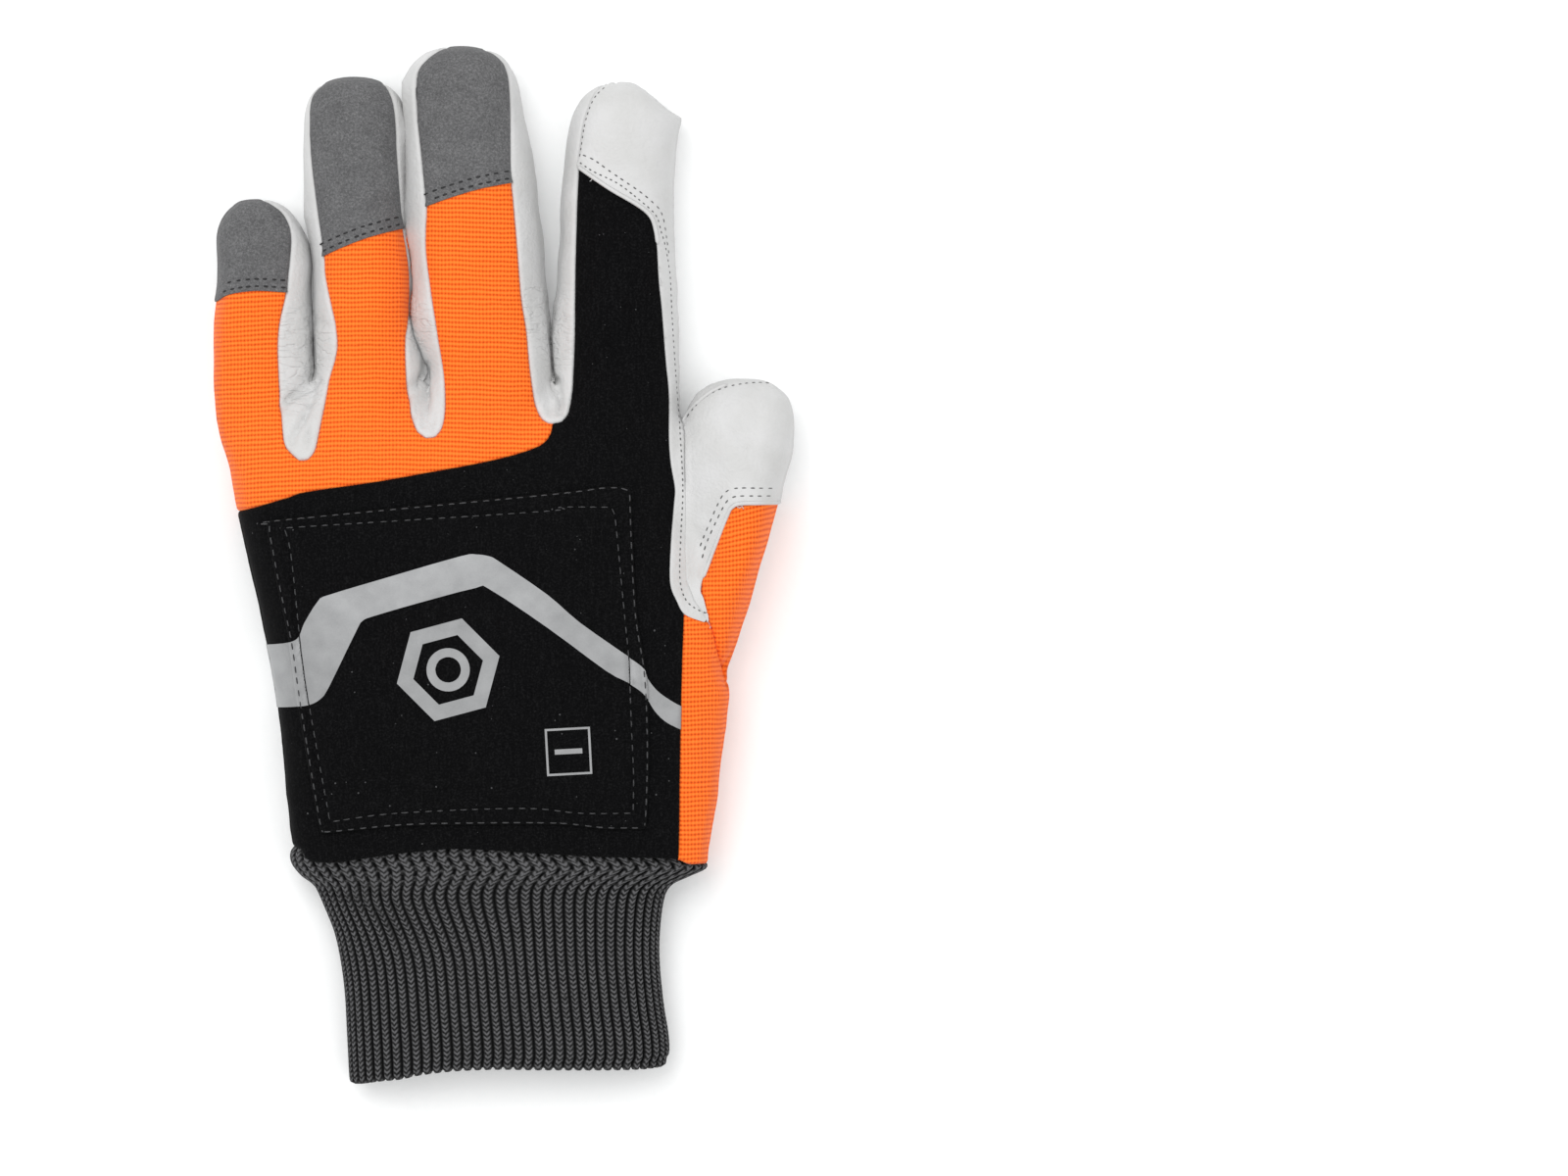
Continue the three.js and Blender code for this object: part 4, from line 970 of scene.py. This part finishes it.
def makePanel(name):
    material, slotName, ending, wall = panelLook[name]
    own = skin["label"] == label[name]
    lapped = np.zeros(len(own), bool)
    for over in under.get(name, []):
        for seam in rawEdges[over]:
            gap, _ = toLine(spotsNow(), drawn(seam))
            near = (gap < edgeSetup["underlap"])[skin["faces"]].all(axis=1)
            lapped |= (skin["label"] == label[over]) & near
    if name == "hand_back":
        near = (depthIn(spotsNow(), padOutline) < edgeSetup["underlap"])[skin["faces"]].all(axis=1)
        lapped |= (skin["label"] == label["saw_pad"]) & near
    points, faces = compact(skin["points"], skin["faces"][own | lapped])
    raw = np.zeros(len(points))
    for seam in rawEdges.get(name, []):
        gap, _ = toLine(points[:, :2], drawn(seam))
        raw = np.maximum(raw, 1 - smoothStep((gap - 0.3 * mm) / edgeSetup["rawReach"]))
    distance, rawness = rimDistance(points[:, :3], rimOf(faces), raw)
    points = np.c_[points, distance, rawness]
    for row in edgeSetup["rows"]:
        points, faces, _, _ = splitAt(points, faces, points[:, -2] - row * mm)
    places, normals = points[:, :3], points[:, 3:6]
    distance, rawness = points[:, -2], points[:, -1]
    t = np.clip(distance / edgeSetup["rollWidth"], 0, 1)
    drop = edgeSetup["rollDepth"] * (1 - np.sqrt(np.clip(1 - (1 - t) ** 2, 0, 1)))
    shift = -drop * (1 - edgeSetup["rawFlat"] * rawness)
    if name in softSeams:
        gap, _ = toLine(places[:, :2], drawn(softSeams[name]))
        shift *= 1 - 0.85 * (1 - smoothStep((gap - 1 * mm) / (3 * mm)))
    onUpper = smoothStep((places[:, 2] - 2 * mm) / (3 * mm))
    for seam in rawEdges.get(name, []):
        gap, _ = toLine(places[:, :2], drawn(seam))
        shift += edgeSetup["rawLift"] * (1 - smoothStep(gap / edgeSetup["liftFade"])) * onUpper
    for over in under.get(name, []):
        shape = inRegion(over, places)
        shift -= edgeSetup["underDrop"] * smoothStep(shape / (0.8 * mm)) * (shape > 0)
    if name == "hand_back":
        shift -= edgeSetup["underDrop"] * smoothStep(depthIn(places[:, :2], padOutline) / (0.8 * mm))
    outer = places + normals * shift[:, None]
    outer[:, 2] = np.maximum(outer[:, 2], 0)
    inner = places - normals * (wall * mm) + normals * np.minimum(shift, 0)[:, None] * 0.3
    piece = wallPiece(name + "_" + ending, outer, inner, faces, weaveOf(places, normals), material,
        [name])
    surfaces.append((outer, faces))
    return piece


for name in panelLook:
    makePanel(name)
print("panels walled")

# The pad: a stuffed patch with two stitched channels
padSetup = {"rise": 1.368 * mm, "edge": 1.1 * mm, "seam": 1.3 * mm, "seamWidth": 0.5 * mm,
    "seamDepth": 0.25 * mm, "crownRun": 7 * mm, "puckerWidth": 1.6 * mm, "channel": 0.55 * mm,
    "channelWidth": 0.9 * mm, "crown": 0.7 * mm, "pucker": 0.1 * mm, "puckers": 370}


def makePad():
    own = skin["label"] == label["saw_pad"]
    points, faces = compact(skin["points"], skin["faces"][own])
    depth = depthIn(points[:, :2], padOutline)
    for row in (0.15, 0.45, 0.9, 1.5):
        points, faces, _, depth = cutAgain(points, faces, depth, row * mm)
    inner = depthIn(points[:, :2], padInner)
    for row in (-0.9, -0.45, 0.0, 0.45, 0.9):
        points, faces, _, inner = cutAgain(points, faces, inner, row * mm)
    places, normals = points[:, :3], points[:, 3:6]
    depth = np.maximum(depthIn(places[:, :2], padOutline), 0)
    inner = depthIn(places[:, :2], padInner, 30 * mm)
    t = np.clip(depth / padSetup["edge"], 0, 1)
    rise = padSetup["rise"] * np.sqrt(np.clip(1 - (1 - t) ** 2, 0, 1))
    gap, along = toLine(places[:, :2], np.vstack([padOutline, padOutline[:1]]))
    rise -= padSetup["seamDepth"] * np.exp(-(((gap - padSetup["seam"]) / padSetup["seamWidth"]) ** 2))
    rise -= padSetup["channel"] * np.exp(-((inner / padSetup["channelWidth"]) ** 2))
    rise += padSetup["crown"] * (1 - np.exp(-np.maximum(inner, 0) / padSetup["crownRun"]))
    around, place = toLine(places[:, :2], np.vstack([padInner, padInner[:1]]))
    near = np.exp(-((around / padSetup["puckerWidth"]) ** 2))
    rise += padSetup["pucker"] * np.cos(2 * math.pi * place * padSetup["puckers"]) * near
    top = places + normals * rise[:, None]
    piece = wallPiece("saw_pad_quilted", top, places + normals * 0.1 * mm, faces, None, softshell,
        ["saw_pad"])
    surfaces.append((top, faces))
    return top, faces


def cutAgain(points, faces, value, level):
    points, faces, owner, value = splitAt(points, faces, value - level)
    return points, faces, owner, value + level


padTop, padFaces = makePad()
print("pad made")

# Tapes and the emblem are films cut from the finished cloth below them
filmSetup = {"lift": 0.06 * mm, "thick": 0.16 * mm}


def makeFilm(name, places, faces, cuts, inside, nodes):
    points = np.c_[places, normalsOf(places, faces)]
    for cut in cuts:
        points, faces, _, _ = splitAt(points, faces, cut(points[:, :2]), 0.03)
    middles = points[faces, :2].mean(axis=1)
    points, faces = compact(points, faces[inside(middles)])
    normals = points[:, 3:6] / np.linalg.norm(points[:, 3:6], axis=1)[:, None]
    bottom = points[:, :3] + normals * filmSetup["lift"]
    top = bottom + normals * filmSetup["thick"]
    piece = wallPiece(name, top, bottom, faces, None, film, nodes, 40)
    surfaces.append((top, faces))
    return piece


tapeOutline = np.vstack([drawn(tapeTop, 3), drawn(tapeLow, 3)])
inTape = lambda spots: depthIn(spots, tapeOutline)
offPad = lambda spots: -depthIn(spots, padOutline) - 0.1 * mm
offStitch = lambda spots: np.abs(depthIn(spots, padInner)) - 0.2 * mm
makeFilm("tape_on_pad_film", padTop, padFaces, [inTape, offStitch],
         lambda spots: (inTape(spots) > 0) & (offStitch(spots) > 0), ["tape_on_pad"])
backTop, backFaces = surfaces[list(panelLook).index("hand_back")]
for name, side in (("tape_little_side", -1), ("tape_thumb_side", 1)):
    beside = lambda spots: (inTape(spots) > 0) & (offPad(spots) > 0) & (side * spots[:, 0] > -20 * mm)
    makeFilm(name + "_film", backTop, backFaces, [inTape, offPad], beside, [name])

# A plain six-sided nut, and a plain framed plate with a bar in it. Sizes in pixels of the photo.
emblem = {"middle": (459, 683), "radius": 54, "rim": 15, "bore": 22, "boreLine": 9, "tilt": -15}
plate = {"middle": (581, 766), "halfWide": 23, "halfHigh": 24, "line": 2.2, "tilt": 3, "barHalf": 14,
    "barLine": 2.6}


def turned(spots, shape):
    away = (spots - px([shape["middle"]])[0]) / photo["scale"]
    c, s = math.cos(math.radians(shape["tilt"])), math.sin(math.radians(shape["tilt"]))
    return c * away[:, 0] + s * away[:, 1], c * away[:, 1] - s * away[:, 0]


def nearOnPad(middle, reach):
    away = np.abs(padTop[:, :2] - px([middle])[0]) / photo["scale"]
    return compact(padTop, padFaces[(away[padFaces] < reach).all(axis=(1, 2))])


def makeEmblem():
    flat = emblem["radius"] * math.cos(math.radians(30))
    slopes = [(math.cos(a), math.sin(a)) for a in np.radians([0, 60, 120])]

    def across(spots, slope):
        x, y = turned(spots, emblem)
        return x * slope[0] + y * slope[1]

    def inside(spots):
        x, y = turned(spots, emblem)
        size = np.max([np.abs(across(spots, slope)) for slope in slopes], axis=0)
        ring = np.abs(np.hypot(x, y) - emblem["bore"] + emblem["boreLine"] / 2) < emblem["boreLine"] / 2
        return (size < flat) & (size > flat - emblem["rim"]) | ring

    cuts = [lambda spots, slope=slope, level=level: (across(spots, slope) - level) * photo["scale"]
            for slope in slopes for level in (-flat, emblem["rim"] - flat, flat - emblem["rim"], flat)]
    cuts += [lambda spots, level=level: (np.hypot(*turned(spots, emblem)) - level) * photo["scale"]
             for level in (emblem["bore"] - emblem["boreLine"], emblem["bore"])]
    makeFilm("nut_emblem_film", *nearOnPad(emblem["middle"], 66), cuts, inside, None)


def makePlate():
    def inside(spots):
        x, y = np.abs(turned(spots, plate))
        border = np.minimum(plate["halfWide"] - x, plate["halfHigh"] - y)
        return (border > 0) & (border < plate["line"]) | (x < plate["barHalf"]) & (y < plate["barLine"])

    levels = [(0, plate["halfWide"]), (0, plate["halfWide"] - plate["line"]), (0, plate["barHalf"]),
              (1, plate["halfHigh"]), (1, plate["halfHigh"] - plate["line"]), (1, plate["barLine"])]
    cuts = [lambda spots, axis=axis, level=level: (turned(spots, plate)[axis] - level) * photo["scale"]
            for axis, size in levels for level in (-size, size)]
    makeFilm("plate_film", *nearOnPad(plate["middle"], 34), cuts, inside, None)


makeEmblem()
makePlate()
print("films made")

# Stitches: short flattened capsules of thread laid along the surface. A station's values are its place along
# the stitch, its size and its lift, as shares of half the length and of the radius.
stitchShape = {"sides": 6, "stations": [(-1.0, 0.15, -0.9), (-0.72, 0.85, 0.1), (0.0, 1.0, 0.5),
    (0.72, 0.85, 0.1), (1.0, 0.15, -0.9)]}

# Rows of stitches, in mm: from one to the next, the share of it that the thread spans, its radius and its sink
sewing = {
    "pad": {"pitch": 3.0, "share": 0.66, "radius": 0.2, "sink": 0.02},
    "tips": {"pitch": 2.2, "share": 0.62, "radius": 0.25, "sink": 0.02},
    "leather": {"share": 0.58, "radius": 0.19, "sink": 0.05},
    "loose": {"pitch": 0.5, "share": 1.5, "radius": 0.1, "sink": -0.3},
}
tipInsets = (1.2, 3.1)
random = np.random.default_rng(7)


def topTree():
    places, faces, base = [], [], 0
    for outer, triangles in surfaces:
        places += outer.tolist()
        faces += (triangles + base).tolist()
        base += len(outer)
    return BVHTree.FromPolygons(places, faces)


cloth = topTree()


def landOn(spot):
    hit = cloth.ray_cast(Vector((spot[0], spot[1], 0.09)), -up)
    return hit[0], hit[1]


def spotAt(line, lengths, distance):
    return np.array([np.interp(distance, lengths, line[:, i]) for i in range(2)])


def stitchRow(line, pitch, share, radius, sink):
    lengths = np.r_[0, np.cumsum(np.linalg.norm(np.diff(line, axis=0), axis=1))]
    count = int(lengths[-1] / (pitch * mm))
    step = lengths[-1] / count
    made = []
    for i in range(count):
        middle = (i + 0.5) * step + random.normal(0, 0.04) * step
        half = step * share / 2 * random.uniform(0.88, 1.1)
        first, normal = landOn(spotAt(line, lengths, middle - half))
        last, normal2 = landOn(spotAt(line, lengths, middle + half))
        if first is None or last is None or (first - last).length > half * 4:
            continue
        out = ((normal + normal2) / 2).normalized()
        run = (last - first) / 2
        side = out.cross(run).normalized()
        centre = (first + last) / 2
        r = radius * mm * random.uniform(0.92, 1.08)
        angles = np.linspace(0, 2 * math.pi, stitchShape["sides"], endpoint=False)
        ring = [(math.cos(a), math.sin(a)) for a in angles]
        places = []
        for along, size, lift in stitchShape["stations"]:
            heart = centre + run * along + out * (r * lift - sink * mm)
            places += [heart + side * (c * r * size) + out * (s * r * size * 0.8) for c, s in ring]
        made.append(places)
    return made


# Faces of a closed tube, made of rings of points
def tubeFaces(rows, sides):
    faces = []
    for j in range(rows - 1):
        for i in range(sides):
            a, b = j * sides + i, j * sides + (i + 1) % sides
            faces += [(a, b, b + sides), (a, b + sides, a + sides)]
    last = (rows - 1) * sides
    faces += [(0, i + 1, i) for i in range(1, sides - 1)]
    faces += [(last, last + i, last + i + 1) for i in range(1, sides - 1)]
    return np.array(faces)


# Gives a closed piece its material and smooth faces that point outwards
def finishPiece(piece, material):
    piece.data.materials.append(material)
    pick(piece)
    bpy.ops.object.mode_set(mode="EDIT")
    bpy.ops.mesh.select_all(action="SELECT")
    bpy.ops.mesh.normals_make_consistent(inside=False)
    bpy.ops.object.mode_set(mode="OBJECT")
    bpy.ops.object.shade_smooth()
    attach(piece, "root")


def joinStitches(name, groups, material):
    stitches = [stitch for group in groups for stitch in group]
    sides, rows = stitchShape["sides"], len(stitchShape["stations"])
    places = np.array([list(p) for stitch in stitches for p in stitch])
    faces = tubeFaces(rows, sides)
    allFaces = np.vstack([faces + i * sides * rows for i in range(len(stitches))])
    finishPiece(objectFrom(name, places, allFaces), material)


def besideSeam(points, distance):
    line = drawn(points)
    step = np.gradient(line, axis=0)
    step /= np.linalg.norm(step, axis=1)[:, None]
    return line + np.c_[-step[:, 1], step[:, 0]] * distance * mm


# Where the leather is stitched, in the photo's pixels
guardRow1 = [(590.8, 165.7), (606, 176), (630.6, 188), (651, 203.5), (665.3, 215.7), (671.4, 223.9),
    (674.5, 236), (678.6, 250), (683.7, 280), (685.7, 320.8), (688.8, 371.8), (691.8, 412.7), (693.9, 439),
    (697, 498), (695, 545), (694, 590), (700, 612), (712, 622), (722, 626)]
guardRow2 = [(592.9, 158), (606, 163.7), (624.5, 177), (653, 196.3), (665.3, 206.5), (673.5, 214.7),
    (677.6, 226), (680.6, 246), (682.7, 260.6)]
capRow1 = [(797, 506), (775, 506.5), (755, 506.5), (745, 509), (738, 518), (722, 552), (716, 572)]
capRow2 = [(799, 498.5), (775, 498.5), (752, 498.5), (741, 502), (733, 514), (717, 551), (714, 560)]
capTopRow = [(700, 427), (711, 413), (725, 402), (740, 395.5), (756, 392), (772, 390.5), (786, 391),
    (793, 393.5)]
indexSeamRow = [(591.5, 162), (593.5, 150), (596.5, 130), (601.5, 112), (608, 98.5), (618, 88.5)]

padStitches = [stitchRow(drawn(run), **sewing["pad"]) for runs in padRows.values() for run in runs]
joinStitches("stitches_pad", padStitches, blackThread)
tipStitches = [stitchRow(besideSeam(seam[1:-1], inset), **sewing["tips"])
               for seam in tipSeams.values() for inset in tipInsets]
joinStitches("stitches_tips", tipStitches, darkThread)
leatherRows = [(guardRow1, 1.5), (guardRow2, 1.9), (capRow1, 2.2), (capRow2, 2.2), (capTopRow, 1.7),
               (indexSeamRow, 1.5)]
leatherStitches = [stitchRow(drawn(row), pitch, **sewing["leather"]) for row, pitch in leatherRows]
joinStitches("stitches_leather", leatherStitches, greyThread)

# Turned leather edges: a flat tube of rings along a line on the cloth
weltSetup = {"radius": 0.55 * mm, "flat": 0.7, "lift": 0.3 * mm, "sides": 6, "step": 0.8 * mm}
welts = {
    "welt_thumb_cap": [(799, 512.8), (775, 513.6), (756, 514.2), (748, 517), (741.5, 527.5), (717.5, 590)],
    "welt_thumb_top": [(696, 431), (704, 419), (716, 407), (729, 398), (742, 392.5)],
    "welt_index_cap": [(590, 170.5), (603, 180), (625, 194.8), (651, 210), (664, 221), (669, 234),
        (671.5, 250)],
}


def makeWelt(name, points):
    line = drawn(points)
    lengths = np.r_[0, np.cumsum(np.linalg.norm(np.diff(line, axis=0), axis=1))]
    stations = np.linspace(0, lengths[-1], int(lengths[-1] / weltSetup["step"]))
    hits = [landOn(spotAt(line, lengths, station))[0] for station in stations]
    middles = np.array([list(hit) for hit in hits if hit is not None and hit.z > 9 * mm])
    count = len(middles)
    for _ in range(4):
        middles[1:-1, 2] = (middles[:-2, 2] + middles[1:-1, 2] + middles[2:, 2]) / 3
    places = []
    for i, middle in enumerate(middles):
        run = Vector(middles[min(i + 1, count - 1)] - middles[max(i - 1, 0)]).normalized()
        side = run.cross(up).normalized()
        out = side.cross(run)
        size = weltSetup["radius"] * (0.3 if i in (0, count - 1) else 1)
        for a in np.linspace(0, 2 * math.pi, weltSetup["sides"], endpoint=False):
            rise = weltSetup["lift"] + size * weltSetup["flat"] * math.sin(a)
            places.append(Vector(middle) + side * (size * math.cos(a)) + out * rise)
    piece = objectFrom(name, np.array([list(p) for p in places]), tubeFaces(count, weltSetup["sides"]))
    finishPiece(piece, leather)


for name, points in welts.items():
    makeWelt(name, points)

# Cut thread ends that stand out of the seams
looseEnds = [[(671, 270), (673.5, 275), (672, 279)], [(672, 283), (675, 288), (673.5, 294)],
             [(676, 341), (679, 344), (677, 348)], [(603, 180), (605.5, 183.5), (602.5, 186)],
             [(751, 514), (754, 519), (757, 517)], [(754, 513), (757, 516), (759, 520)],
             [(724, 634), (725.5, 639), (724.5, 641)]]
looseStitches = [stitchRow(drawn(line), **sewing["loose"]) for line in looseEnds]
joinStitches("loose_threads", looseStitches, looseThread)
print("stitched")

# The knitted cuff, from its edges in the photo
cuff = {
    "left": [(313, 846), (308, 857), (299, 868), (299.5, 880), (308.7, 892), (320, 902), (331, 925),
        (342.5, 955), (350.5, 1000), (353.7, 1050), (356, 1090), (358.5, 1099), (362, 1104)],
    "right": [(705, 846), (706, 862), (710, 874), (719, 882.5), (716, 888.6), (700, 896), (685, 905),
        (678, 918), (674, 946), (673, 981), (677, 1027), (682, 1061), (683, 1082), (680, 1088)],
    "bottom": [(350, 1107), (370, 1106), (385, 1104), (410, 1101.5), (425, 1098), (460, 1093.5),
        (505, 1091.5), (549, 1092), (641, 1092), (675, 1089), (690, 1084)],
    "topRow": 846, "bandRow": 905, "wristHeight": 21 * mm, "wristWaist": 8 * mm,
    "height": 15.5 * mm, "pinchStart": 0.08, "pinchRun": 0.3, "ribs": 74, "ribPoints": 10,
    "rows": 110, "ribDepth": 1.15 * mm, "wall": 2.0 * mm, "squareness": 2.6, "innerRows": 10,
    "sweep": 2.4 * mm, "sweepStart": 8.5 * mm, "sweepEnd": 18 * mm, "palmRow": 884, "palmLift": 2.4 * mm,
    "bandBulge": 0.7 * mm, "rungPitch": 2.7 * mm, "rungRise": 0.62, "hemRoll": 1.3 * mm, "scallop": 0.6 * mm,
    "creases": [
        {"line": [(300, 884), (312, 898), (330, 908), (350, 915), (378, 927), (402, 948), (415, 980)],
         "width": 1.3, "depth": 2.2},
        {"line": [(322, 882), (340, 893), (366, 903), (392, 916), (415, 938), (425, 970)],
         "width": 1.2, "depth": 1.5},
        {"line": [(420, 900), (470, 907), (520, 905), (560, 908), (610, 903), (690, 900)],
         "width": 1.8, "depth": 0.6},
    ],
}


def makeCuff():
    left, right, bottom = drawn(cuff["left"]), drawn(cuff["right"]), drawn(cuff["bottom"])
    topY, bandY, palmY = px([(0, cuff["topRow"]), (0, cuff["bandRow"]), (0, cuff["palmRow"])])[:, 1]
    lowY = bottom[:, 1].mean()
    rows = np.linspace(0, 1, cuff["rows"])
    sides = cuff["ribs"] * cuff["ribPoints"]
    around = np.arange(sides) / sides
    ribNumber = np.floor(around * cuff["ribs"] + 0.5)
    inRib = np.abs((around * cuff["ribs"]) % 1 - 0.5) * 2
    ribShape = 1 - smoothStep((inRib - 0.5) / 0.45) - 0.22 * inRib**2
    fine = np.linspace(0, 2 * math.pi, 1441)
    power = 2 / cuff["squareness"]
    fine = np.stack([np.sign(wave) * np.abs(wave) ** power for wave in (np.cos(fine), np.sin(fine))])
    lengths = np.r_[0, np.cumsum(np.hypot(*(np.diff(fine) * [[2.6], [1]])))]
    c, s = (np.interp(around, lengths / lengths[-1], values) for values in fine)
    outer, inner, weave = [], [], []
    for t in rows:
        y = topY + (lowY - topY) * t
        xl = np.interp(-y, -left[:, 1], left[:, 0])
        xr = np.interp(-y, -right[:, 1], right[:, 0])
        middle, half = (xl + xr) / 2, (xr - xl) / 2
        pinch = smoothStep((t - cuff["pinchStart"]) / cuff["pinchRun"])
        height = cuff["wristHeight"] * (1 - pinch) + cuff["height"] * pinch
        waist = cuff["wristWaist"] * (1 - pinch) + height / 2 * pinch
        rise = np.where(s > 0, height - waist, waist * 1.12)
        lift = cuff["palmLift"] * smoothStep((y - palmY) / (3 * mm))
        below = palmY - y
        sweep = np.sin(np.pi * np.clip((1 + c) / 1.2, 0, 1)) * smoothStep(s / 0.3) * cuff["sweep"]
        sweep *= smoothStep(below / cuff["sweepStart"])
        sweep *= 1 - smoothStep((below - cuff["sweepStart"]) / cuff["sweepEnd"])
        spots = np.c_[middle + half * c - sweep, np.maximum(waist + rise * s, lift)]
        step = np.roll(spots, -1, axis=0) - np.roll(spots, 1, axis=0)
        out = np.c_[step[:, 1], -step[:, 0]] / np.linalg.norm(step, axis=1)[:, None]
        inBand = smoothStep((y - bandY) / (2.5 * mm))
        rung = np.sin(2 * math.pi * y / cuff["rungPitch"] + ribNumber * 2.4) > 0
        depth = cuff["ribDepth"] * (1 - ribShape) * (1 - cuff["rungRise"] * inBand * rung)
        depth -= cuff["bandBulge"] * inBand
        toHem = (lowY - y) / -cuff["hemRoll"]
        depth += cuff["hemRoll"] * (1 - np.sqrt(np.clip(1 - np.clip(1 - abs(toHem), 0, 1) ** 2, 0, 1)))
        face = spots - out * depth[:, None]
        back = spots - out * (cuff["wall"] + cuff["ribDepth"])
        slant = np.interp(face[:, 0], bottom[:, 0], bottom[:, 1]) - lowY
        yy = y + slant * t**1.5 + cuff["scallop"] * (1 - ribShape) * smoothStep((t - 0.97) / 0.03)
        outer.append(np.c_[face[:, 0], yy, face[:, 1]])
        inner.append(np.c_[back[:, 0], yy, np.maximum(back[:, 1], cuff["wall"])])
        weave.append(np.c_[around * cuff["ribs"], np.full(sides, y / mm)])
    keep = np.unique(np.linspace(0, len(rows) - 1, cuff["innerRows"]).astype(int))
    outer, inner = np.vstack(outer), np.vstack([inner[i] for i in keep])
    for crease in cuff["creases"]:
        gap, along = toLine(outer[:, :2], drawn(crease["line"]))
        ends = np.sin(np.pi * np.clip(along, 0.04, 0.96)) ** 0.6
        onTop = smoothStep((outer[:, 2] - 9 * mm) / (4 * mm))
        outer[:, 2] -= crease["depth"] * mm * ends * onTop * np.exp(-((gap / (crease["width"] * mm)) ** 2))
    outer[:, 2] = np.maximum(outer[:, 2], 0)
    weave = np.vstack(weave + [weave[i] for i in keep])
    count = len(outer)
    face, back = (np.arange(n).reshape(-1, sides) for n in (count, len(inner)))
    back = back + count
    walls = []
    for grid in (face, back[:, ::-1]):
        a, c = grid[:-1], grid[1:]
        quads = np.stack([a, np.roll(a, -1, axis=1), np.roll(c, -1, axis=1), c], axis=-1)
        walls.append(quads.reshape(-1, 4))
    for one, two in ((face[0, ::-1], back[0, ::-1]), (face[-1], back[-1])):
        walls.append(np.stack([one, np.roll(one, -1), np.roll(two, -1), two], axis=-1))
    faces = np.vstack(walls)
    piece = objectFrom("knit_cuff_ribbed", np.vstack([outer, inner]), faces)
    print("knit_cuff_ribbed", 2 * len(faces), "triangles")
    corners = weave[faces]
    wrapped = np.ptp(corners[:, :, 0], axis=1) > cuff["ribs"] / 2
    corners[wrapped, :, 0] += np.where(corners[wrapped, :, 0] < 1, cuff["ribs"], 0)
    piece.data.uv_layers.new(name="weave").data.foreach_set("uv", corners.ravel())
    finishPiece(piece, knit)
    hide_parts("knit_cuff")


makeCuff()
print("cuff knitted")

# Pale floor, soft light from the upper left, and the camera straight above. At scaleHeight one pixel of the
# picture is one of the photo.
stageSetup = {"cameraHeight": 4.0, "scaleHeight": 12 * mm, "world": 0.8, "key": 18, "fill": 5, "glow": 0.14}


def makeStage():
    bpy.ops.mesh.primitive_plane_add(size=8, location=(0, 0, -0.2 * mm))
    floor = bpy.context.object
    floor.name = "floor"
    material, tree, where = newMaterial("paper_white", {
        "Roughness": 0.9, "Specular IOR Level": 0.1, "Emission Color": (1, 1, 1, 1),
        "Emission Strength": stageSetup["glow"]})
    tooth = addNode(tree, "TexNoise", {"Vector": where, "Scale": 1 / (1.5 * mm), "Detail": 3.0})
    colour = addNode(tree, "ValToRGB", {"Fac": tooth, "stops": [(0.3, "#EDEEEE"), (0.7, "#F1F2F2")]})
    tree.links.new(colour.outputs["Color"], tree.nodes["Principled BSDF"].inputs["Base Color"])
    floor.data.materials.append(material)
    world = bpy.data.worlds.new("studio")
    world.use_nodes = True
    world.node_tree.nodes["Background"].inputs["Color"].default_value = (1, 1, 1, 1)
    world.node_tree.nodes["Background"].inputs["Strength"].default_value = stageSetup["world"]
    scene = bpy.context.scene
    scene.world = world
    scene.view_settings.view_transform = "Standard"
    for name, place, size, energy in (("key_light", (-0.6, 0.75, 1.6), 1.5, stageSetup["key"]),
            ("fill_light", (0.9, -0.5, 1.6), 1.4, stageSetup["fill"])):
        lamp = bpy.data.objects.new(name, bpy.data.lights.new(name, "AREA"))
        scene.collection.objects.link(lamp)
        lamp.location = place
        lamp.rotation_euler = (-Vector(place)).to_track_quat("-Z", "Y").to_euler()
        lamp.data.size = size
        lamp.data.energy = energy
    camera = bpy.data.objects.new("camera", bpy.data.cameras.new("camera"))
    scene.collection.objects.link(camera)
    middle = px([(photo["width"] / 2, photo["height"] / 2)])[0]
    camera.location = (middle[0], middle[1], stageSetup["cameraHeight"])
    above = stageSetup["cameraHeight"] - stageSetup["scaleHeight"]
    camera.data.lens = camera.data.sensor_width * above / (photo["width"] * photo["scale"])
    scene.camera = camera


makeStage()
